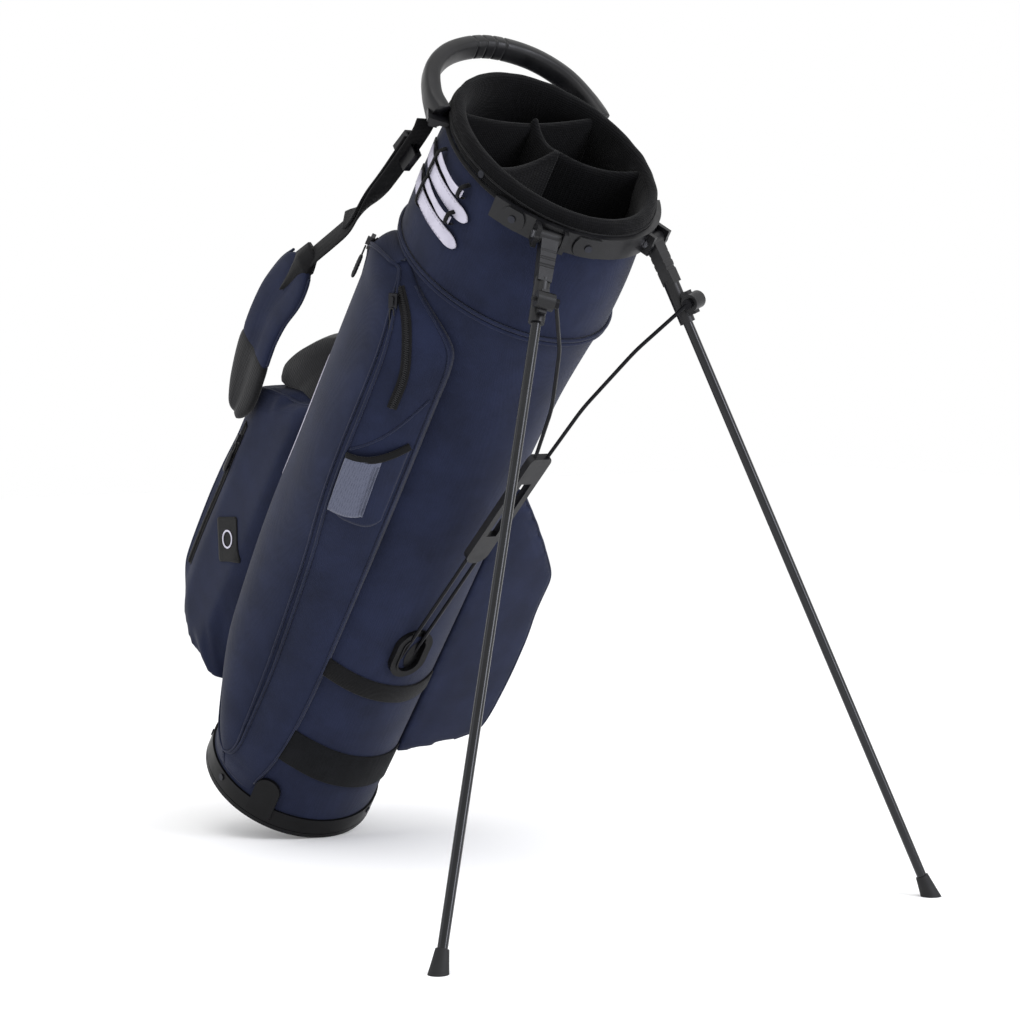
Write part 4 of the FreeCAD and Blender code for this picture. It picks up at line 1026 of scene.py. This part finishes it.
# %% [markdown]
# ## Hardware that already has the right shape
# Screws, pins, knuckles, legs, wire and the base come from the design as they are. They only
# get their finish, and a small bevel that catches the light as a moulded edge does.

# %% Finish for the hard pieces
def dress(material, *names, bevel=0.0):
    for node in names:
        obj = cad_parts[node]
        obj.data.materials.clear()
        obj.data.materials.append(material)
        if bevel:
            edge = obj.modifiers.new("Edge", "BEVEL")
            edge.width = bevel
            edge.segments = 2
            edge.limit_method = "ANGLE"
            edge.angle_limit = math.radians(40)


SIDES = {"left": -1, "right": 1}
dress(BASE_PLASTIC, "base_cup", "foot_plate", bevel=0.0008)
dress(BASE_PLASTIC, "base_tab", "rod_grommet", bevel=0.0008)
dress(PLASTIC, "stand_bracket", "bracket_plate_left", "bracket_plate_middle", "rod_connector",
      bevel=0.0008)
dress(DARK_STEEL, "body_screws")
dress(STEEL, "leg_hinge_pins", "foot_hinge_pin")
dress(SPRING, "push_rod")
dress(GLASS_FIBRE, "stay_rods")
for side in SIDES:
    dress(PLASTIC, "leg_knuckle_" + side, bevel=0.0016)
    dress(PLASTIC, "ladder_lock_" + side, "strap_ring_" + side, bevel=0.0007)
    dress(ALUMINIUM, "leg_tube_" + side)
    dress(RUBBER, "leg_foot_" + side, bevel=0.001)
    dress(SPRING, "upper_rod_" + side)

# %% [markdown]
# ## Bands, straps and zips
# Flat goods are swept along the surface that they lie on. A band has a real thickness and a
# rounded edge, and the coil of a zip is one fine thread that zigzags along its tape.

# %% Bands round the tube
BAND_THICK = 0.0024
BAND_LIFT = 0.0013


def tube_band(name, node, middle, width, angles, material):
    """middle: height of the band's centre as (angle, height) pairs."""
    path = [tube_point(a, blend_values(middle, a), BAND_LIFT) for a in spaced(*angles, 91)]
    sweep(name, path, radial, strap_section(width, BAND_THICK), material, replaces=[node])


LEG_STRAP_LINE = [(-57, 0.241), (-20, 0.226), (10, 0.2165), (21, 0.2145), (46, 0.216)]
GRIP_LINE = [(-60, 0.120), (-40, 0.114), (-18, 0.1065), (10, 0.0985), (35, 0.092), (46, 0.089)]
tube_band("leg_retaining_strap", "leg_strap", LEG_STRAP_LINE, 0.024, (-56, 40), WEBBING)
tube_band("lifting_band", "grip_band", GRIP_LINE, 0.046, (-60, 40), BAND_CLOTH)

# %% Zips
TAPE_PROUD = 0.0008
COIL_PITCH = 0.0022
COIL_HALF = (0.0021, 0.0006)


def zip_line(name, node, skin, points, width):
    """Tape and coil laid on a surface, with the coil standing a little proud."""
    path, ups = laid_on(skin, points, 120, TAPE_PROUD)
    sweep(name + "_woven_tape", path, ups, strap_section(width, 0.0012), BINDING, replaces=[node])
    raised = [p + u * 0.0009 for p, u in zip(path, ups)]
    total = sum((b - a).length for a, b in zip(raised, raised[1:]))
    line = sample(raised, int(total / COIL_PITCH) * 4)
    coil = []
    for k, p in enumerate(line):
        up = on_surface(skin, p)[1]
        ahead = line[min(k + 1, len(line) - 1)] - line[max(k - 1, 0)]
        across = up.cross(ahead).normalized()
        phase = math.pi / 2 * k
        coil.append(p + across * (COIL_HALF[0] * math.sin(phase))
                    + up * (COIL_HALF[1] * math.cos(phase)))
    sweep(name + "_coil", coil, lambda p, k: on_surface(skin, p)[1], ring_section(0.0008, 5), COIL)


pocket_skin = surface_of(long_pocket)
zip_line("side_zip", "side_zip_tape", pocket_skin,
         [(-0.002, -0.129, 0.698), (0.028, -0.124, 0.672), (0.049, -0.120, 0.630),
          (0.052, -0.120, 0.585)], 0.0105)
zip_line("rear_zip", "rear_zip_tape", pocket_skin,
         [tuple(long_pocket_point(REAR_SHARE + 0.03, z)) for z in (0.690, 0.66, 0.61, 0.56)],
         0.010)
zip_line("back_zip", "back_zip_tape", back_skin,
         [(-0.176, -0.099, 0.380), (-0.181, -0.099, 0.30), (-0.186, -0.099, 0.23),
          (-0.187, -0.099, 0.172)], 0.011)
zip_line("right_zip", "right_zip_tape", right_skin,
         [(-0.052, 0.19, 0.352), (-0.053, 0.19, 0.26), (-0.052, 0.19, 0.170)], 0.011)

# %% [markdown]
# Every slider carries a soft pull: a thin cord loop through the slider's eye, and a dipped
# vinyl tab with a few ribs for the fingers. It turns with its own body, so it may swing.

# %% Zip pulls
ZIPS = {"side": ((-0.004, -0.129, 0.694), (0.050, -0.121, 0.590), (0.62, -0.78, 0)),
        "rear": ((-0.088, -0.104, 0.700), (-0.092, -0.104, 0.560), (-0.66, -0.75, 0)),
        "back": ((-0.176, -0.099, 0.372), (-0.184, -0.101, 0.176), (-0.25, -0.97, 0)),
        "right": ((-0.052, 0.178, 0.352), (-0.052, 0.184, 0.170), (-0.55, 0.83, 0))}
EYE_ALONG = 0.0215
EYE_OUT = 0.0095
LOOP_LEN = 0.013
LOOP_IN_TAB = 0.003
TAB_LEN = 0.030


def tab_width(t):
    """Rounded at both ends, wider towards the end, with ribs for the fingers."""
    round_end = math.sqrt(max(1 - ((t - 0.5) / 0.5)**6, 0.02))
    rib = 1 + 0.10 * math.sin(t * 44) * (0.3 < t < 0.8)
    return ((0.62 + 0.38 * t) * round_end, rib * round_end)


for zip_name, (start, end, face) in ZIPS.items():
    start, face = Vector(start), Vector(face)
    along = (Vector(end) - start).normalized()
    out = (face - along * face.dot(along)).normalized()
    across = out.cross(along)
    eye = start + along * EYE_ALONG + out * EYE_OUT
    half_loop = [(0.0, 0.0016), (0.006, 0.0022), (LOOP_LEN, 0.0012)]
    loop = sample([eye + along * x + across * y for x, y in
                   half_loop + [(x, -y) for x, y in reversed(half_loop)]], 40, closed=True)
    parts = [sweep_mesh(loop, [out] * 40, ring_section(0.0009, 8), closed=True)]
    tab = [eye + along * (LOOP_LEN - LOOP_IN_TAB + TAB_LEN * k / 30) for k in range(31)]
    parts.append(sweep_mesh(tab, [out] * 31, strap_section(0.0082, 0.0044), scale=tab_width))
    piece(zip_name + "_soft_pull", *joined(parts), SOFT_PULL, [zip_name + "_zip_puller"],
          zip_name + "_zip_pull")
    dress(DIE_CAST, zip_name + "_zip_slider", bevel=0.0009)
print("zip pulls", len(ZIPS))

# %% [markdown]
# ## The bottle sleeve
# A stretch panel on the gusset that faces the legs. It shows navy next to the tube and grey mesh
# beyond that, with one rounded lower corner, and its mouth is bound with black tape. It stands a
# few millimetres off the gusset, so that the mouth is open.

# %% Bottle sleeve
SLEEVE_LOW = 0.437
SLEEVE_TOP = 0.512
SLEEVE_FROM = 0.030
SLEEVE_TO = 0.222
MESH_FROM = 0.34
MESH_TO = 0.985
MESH_PROUD = 0.0026


def sleeve_point(t, height, extra=0.0):
    """t runs 0 to 1 from the tube to the piping."""
    u = SLEEVE_FROM + (SLEEVE_TO - SLEEVE_FROM) * t
    open_share = min(max((height - SLEEVE_LOW) / (SLEEVE_TOP - SLEEVE_LOW), 0.0), 1.0)
    lift = 0.0022 + 0.0060 * open_share * math.sin(math.pi * t)
    return long_pocket_point(u, height, lift + extra)


def sleeve_top(t):
    """The mouth rises towards the tube and sags in the middle."""
    return SLEEVE_TOP + 0.036 * (1 - t) - 0.006 * math.sin(math.pi * t)


def sleeve_bottom(t):
    return SLEEVE_LOW + 0.014 * abs(2 * t - 1)**3.5


def stretch_point(up, t):
    return sleeve_point(t, sleeve_bottom(t) + (sleeve_top(t) - sleeve_bottom(t)) * up)


def mesh_point(up, across):
    """The mesh lies on the stretch panel, short of its edges, with one rounded lower corner."""
    t = MESH_FROM + (MESH_TO - MESH_FROM) * across
    low = SLEEVE_LOW + 0.004 + 0.010 * (1 - across)**3
    return sleeve_point(t, low + (sleeve_top(t) - 0.002 - low) * up, MESH_PROUD)


panel("sleeve_stretch_panel", sheet(24, 24, stretch_point), NAVY, 0.0016,
      replaces=["bottle_sleeve"])
panel("sleeve_mesh", sheet(24, 18, mesh_point), GREY_MESH, 0.0010)
for name, inset in (("mesh_edge_outer", 0.0), ("mesh_edge_inner", 0.05)):
    down = [sleeve_point(MESH_FROM + inset, z, MESH_PROUD + 0.001)
            for z in spaced(SLEEVE_LOW + 0.082, SLEEVE_LOW + 0.014, 9)]
    sweep(name, sample(down, 40), radial, ring_section(0.0006, 6), GREY_MESH)
upper_seam = [long_pocket_point(SLEEVE_FROM + (SLEEVE_TO - SLEEVE_FROM) * t,
                                0.606 - 0.086 * t - 0.010 * math.sin(math.pi * t), 0.0006)
              for t in spaced(0.0, 1.0, 21)]
piping("gusset_seam", sample(upper_seam, 60), 0.0012)
mouth_path = sample([sleeve_point(c / 24, sleeve_top(c / 24), 0.0006) for c in range(25)], 60)
sweep("sleeve_binding", mouth_path, radial, strap_section(0.0080, 0.0030), BINDING)
print("bottle sleeve", len(mouth_path))

# %% [markdown]
# ## Leather closures on the collar
# Two white leatherette straps close over a black backing. Each passes under a woven keeper and
# ends in a rounded tip. A narrow tongue lies above it, under a second keeper.

# %% Leather straps
KEEPER_FOOT = 0.0014


def collar_path(angles, shares, outs, count):
    """Path round the collar; shares and outs are (place along it, value) pairs."""
    return [collar_point(angles[0] + (angles[1] - angles[0]) * t, blend_values(shares, t),
                         blend_values(outs, t)) for t in spaced(0.0, 1.0, count)]


def strap_tip(t):
    """Even width, then a round end over the last stretch."""
    return (0.98 if t < 0.86 else max(math.sqrt(max(1 - ((t - 0.86) / 0.14)**2, 0)), 0.12), 1)


def tongue_width(t):
    """Waisted: narrowest half way along."""
    return (0.75 + 0.25 * abs(2 * t - 1), 1)


def leather_strap(name, node, share):
    backing = collar_path((-126, -96), [(0, share), (1, share)], [(0, 0.0014), (1, 0.0014)], 24)
    sweep(name + "_backing", backing, radial, strap_section(0.0240, 0.0016), BINDING)
    main = collar_path((-121, -72), [(0, share + 0.02), (1, share - 0.05)],
                       [(0, 0.0030), (0.2, 0.0050), (0.5, 0.0048), (1, 0.0036)], 60)
    sweep(name + "_strap", main, radial, strap_section(0.0155, 0.0022), LEATHER, scale=strap_tip,
          replaces=[node])
    threads = [stitches([p + radial(p).normalized() * 0.0011 + Vector((0, 0, rise))
                         for p in main[4:50]], radial) for rise in (-0.0060, 0.0060)]
    piece(name + "_stitches", *joined(threads), LEATHER_EDGE)
    tongue = collar_path((-107, -79), [(0, share + 0.135), (1, share + 0.115)],
                         [(0, 0.0055), (0.5, 0.0085), (0.85, 0.0110), (1, 0.0085)], 40)
    sweep(name + "_tongue", tongue, radial, strap_section(0.0095, 0.0020), LEATHER,
          scale=tongue_width)
    for angle, low, high, rise in ((-106, -0.10, 0.20, 0.0085), (-80, 0.07, 0.19, 0.0120)):
        keeper = [collar_point(angle, share + low + (high - low) * t,
                               KEEPER_FOOT + (rise - KEEPER_FOOT) * (1 - abs(2 * t - 1)**6))
                  for t in spaced(0.0, 1.0, 25)]
        sweep(name + "_keeper_%d" % -angle, keeper, lambda p, k: around(angle, 1, 0),
              strap_section(0.0050, 0.0018), BINDING)


leather_strap("upper_leather", "accessory_strap_upper", 0.70)
leather_strap("lower_leather", "accessory_strap_lower", 0.455)
print("leather straps 2")

# %% [markdown]
# ## Shoulder straps
# Webbing runs from the loop on the ring, through a ladder lock, into a padded, cupped strap.
# Each strap hangs in a plane of its own: X runs down it, Y points away from the bag.

# %% Shoulder straps
STRAP_TOP = (-0.086, 0.106, 0.843)
STRAP_FOOT = (-0.166, 0.113, 0.392)
STRAP_OUT = {"left": 180, "right": 116}
STRAP_SLACK = {"left": 1.0, "right": 1.35}
WEB_LINE = [(0.002, 0.0), (0.022, -0.002), (0.095, 0.005), (0.162, 0.017), (0.256, 0.048),
            (0.280, 0.050)]
PAD_OUTER = [(0.256, 0.068), (0.275, 0.078), (0.330, 0.087), (0.395, 0.077), (0.440, 0.058),
             (0.470, 0.036)]
PAD_INNER = [(0.256, 0.030), (0.275, 0.023), (0.300, 0.021), (0.345, 0.025), (0.395, 0.014),
             (0.440, 0.004), (0.470, 0.012)]
PAD_HALF = 0.0078
PAD_PIPING_AT = (0.262, 0.28, 0.30, 0.33, 0.36, 0.385)
PAD_PIPING_DROP = -0.0030


def strap_frame(side):
    top = Vector((STRAP_TOP[0], SIDES[side] * STRAP_TOP[1], STRAP_TOP[2]))
    foot = Vector((STRAP_FOOT[0], SIDES[side] * STRAP_FOOT[1], STRAP_FOOT[2]))
    down = (foot - top).normalized()
    out = around(STRAP_OUT[side], 1, 0)
    out = (out - down * out.dot(down)).normalized()
    return top, down, out, down.cross(out)


def strap_point(side, x, y, z=0.0):
    top, down, out, width = strap_frame(side)
    return top + down * x + out * (y * STRAP_SLACK[side]) + width * z


def pad_rows(side, start, end, swell):
    """Rows of a cushion section with a shallow crease along its middle."""
    count = 44
    rows = []
    for k in range(count + 1):
        x = start + (end - start) * k / count
        outer, inner = blend_values(PAD_OUTER, x), blend_values(PAD_INNER, x)
        middle, half = (outer + inner) / 2, (outer - inner) / 2 + swell
        close = math.sqrt(max(1 - abs(2 * k / count - 1)**10, 0.01))
        row = []
        for c in range(28):
            q = 2 * math.pi * c / 28
            wide = math.copysign(abs(math.cos(q))**0.75, math.cos(q))
            deep = math.copysign(abs(math.sin(q))**0.8, math.sin(q))
            crease = 1 - 0.30 * math.exp(-(wide / 0.20)**2)
            cup = 0.0035 * wide**2
            row.append(strap_point(side, x, middle + half * wide * (0.4 + 0.6 * close),
                                   (PAD_HALF + swell) * deep * crease * close - cup))
        rows.append(row)
    return rows


def turned_up(out, width, t, hand):
    """The webbing's face turns sideways between the lock and the pad."""
    share = min(max((t - 0.35) / 0.30, 0.0), 1.0)
    turn = math.radians(70) * share * share * (3 - 2 * share)
    return out * math.cos(turn) + width * (math.sin(turn) * hand)


def tab_shape(t):
    """The black tab over the pad's top widens, then runs to a point."""
    wide = 1.0 + 0.3 * min(t / 0.3, 1.0) if t < 0.3 else 1.3 * (1 - t) / 0.7 + 0.06
    return (wide, 0.35 + 0.65 * min(t / 0.25, 1.0))


for side in SIDES:
    body = "shoulder_strap_" + side
    top, down, out, width = strap_frame(side)
    line = sample([strap_point(side, x, y) for x, y in WEB_LINE], 110)
    hand = SIDES[side]
    turned = [turned_up(out, width, k / 109, hand) for k in range(110)]
    sweep("webbing_" + side, line, turned, strap_section(0.0235, 0.0026), WEBBING,
          replaces=["strap_webbing_" + side], body=body)
    tail = sample([strap_point(side, x, y) for x, y in
                   ((0.030, 0.0035), (0.095, 0.009), (0.150, 0.019), (0.176, 0.030))], 60)
    turned = [turned_up(out, width, 0.1 + 0.5 * k / 59, hand) for k in range(60)]
    sweep("webbing_tail_" + side, tail, turned, strap_section(0.0230, 0.0022), WEBBING, body=body)
    piece("pad_" + side, *capped(pad_rows(side, 0.256, 0.402, 0.0)), NAVY,
                    ["strap_pad_" + side], body)
    piece("pad_lower_" + side, *capped(pad_rows(side, 0.384, 0.470, 0.0006)),
                    BLACK_MESH, body=body)
    for label, edge, away in (("outer", PAD_OUTER, 0.0004), ("inner", PAD_INNER, -0.0004)):
        points = [strap_point(side, x, blend_values(edge, x) + away, PAD_PIPING_DROP)
                  for x in PAD_PIPING_AT]
        piping("pad_piping_%s_%s" % (label, side), sample(points, 60), 0.0016,
               [width] * 60, sides=10, body=body)
    tab_line = [strap_point(side, 0.238 + 0.066 * k / 40, 0.047 + 0.006 * k / 40, -0.001)
                for k in range(41)]
    sweep("pad_tab_" + side, tab_line, [width] * 41, strap_section(0.0250, 0.0182), BINDING,
          scale=tab_shape, body=body)
print("shoulder straps 2")

# %% [markdown]
# ## The hip pad
# A cushion of black air mesh lies between the long pocket and the rear pocket, against the
# golfer's back. It is a loft across the bag, thinner at both ends.

# %% Hip pad
HIP_CENTRE = Vector((-0.130, 0, 0.495))
HIP_BACK = -0.094
RIB_PITCH = 0.034
HIP_PROFILE = [(-0.096, 0.468), (-0.140, 0.450), (-0.178, 0.432), (-0.187, 0.444),
               (-0.186, 0.460), (-0.170, 0.492), (-0.148, 0.522), (-0.124, 0.546), (-0.098, 0.556)]
hip_loop = sample([(x, 0, z) for x, z in HIP_PROFILE], 56, closed=True)
hip_rows = []
for y, t in zip(spaced(-0.087, 0.079, 33), spaced(-1.0, 1.0, 33)):
    share = math.sqrt(max(1 - abs(t)**5, 0.03))
    rib = 0.0016 * math.cos(2 * math.pi * y / RIB_PITCH)
    row = []
    for p in hip_loop:
        spot = HIP_CENTRE + (p - HIP_CENTRE) * (0.80 + 0.20 * share)
        spot += (p - HIP_CENTRE).normalized() * rib
        row.append(Vector((min(spot.x, HIP_BACK), y, spot.z)))
    hip_rows.append(row)
piece("hip_cushion", *capped(hip_rows), BLACK_MESH, ["hip_pad"])
print("hip pad", len(hip_rows))

# %% [markdown]
# ## Small trim
# A plain badge with a ring on it, a pale accent near the rear edge of the long pocket, a dark
# moulded patch where the push rod enters the tube, and the seam that joins the long pocket's
# gusset to the tube.

# %% Badge, accent and seams
BADGE_TURN = math.radians(40)
BADGE_X = -0.130
BADGE_Z = 0.254
BADGE_HALF = (0.0205, 0.0250)
BADGE_RING = 0.0105
CUT_CORNER = 0.94


def badge_point(up, across):
    """Point of the badge on the rear pocket's left side; its corners are cut a little."""
    u, v = 2 * across - 1, 2 * up - 1
    corner = CUT_CORNER if abs(u) > 0.9 and abs(v) > 0.9 else 1.0
    width, height = BADGE_HALF[0] * u * corner, BADGE_HALF[1] * v * corner
    x = BADGE_X + width * math.cos(BADGE_TURN) - height * math.sin(BADGE_TURN)
    z = BADGE_Z + width * math.sin(BADGE_TURN) + height * math.cos(BADGE_TURN)
    return on_surface(back_skin, (x, -0.101, z), 0.0012)[0]


panel("badge_patch", sheet(16, 16, badge_point), BINDING, 0.0016)
ring_points = [(BADGE_X + x, -0.099, BADGE_Z + z) for x, z in ring_section(BADGE_RING, 24)]
ring_path, ring_ups = laid_on(back_skin, ring_points, 72, 0.0016, closed=True)
sweep("badge_ring", ring_path, ring_ups, strap_section(0.0022, 0.0008), LEATHER, closed=True)
ACCENT_AT = 0.63
ACCENT_LOW = 0.395
ACCENT_HIGH = 0.555
ACCENT_SPREAD = 0.030


def accent_point(up, across):
    """A sliver that narrows to nothing at both ends."""
    spread = ACCENT_SPREAD * math.sin(math.pi * up)**0.8
    return long_pocket_point(ACCENT_AT - spread * across,
                             ACCENT_LOW + (ACCENT_HIGH - ACCENT_LOW) * up, 0.0006)


panel("pocket_accent", sheet(30, 4, accent_point), LEATHER, 0.0006)
ROD_MOUTH = (5.8, 0.275)
ROD_MOUTH_HALF = (8.2, 0.021)
rod_mouth_rows = [[tube_point(ROD_MOUTH[0] + ROD_MOUTH_HALF[0] * u, ROD_MOUTH[1]
                              + ROD_MOUTH_HALF[1] * v, 0.0009)
                   for u, v in ring_section(k / 8, 28)] for k in range(9)]
panel("rod_mouth", rod_mouth_rows, BASE_PLASTIC, 0.0, True)
foot_line = [long_pocket_point(0.012, z, 0.0004) for z in curve_steps(0.045, 0.70, 60)]
piping("pocket_foot_seam", sample(foot_line, 160), 0.0011)
print("trim done")

# %% [markdown]
# ## The last step

# %% The end
bpy.context.view_layer.update()
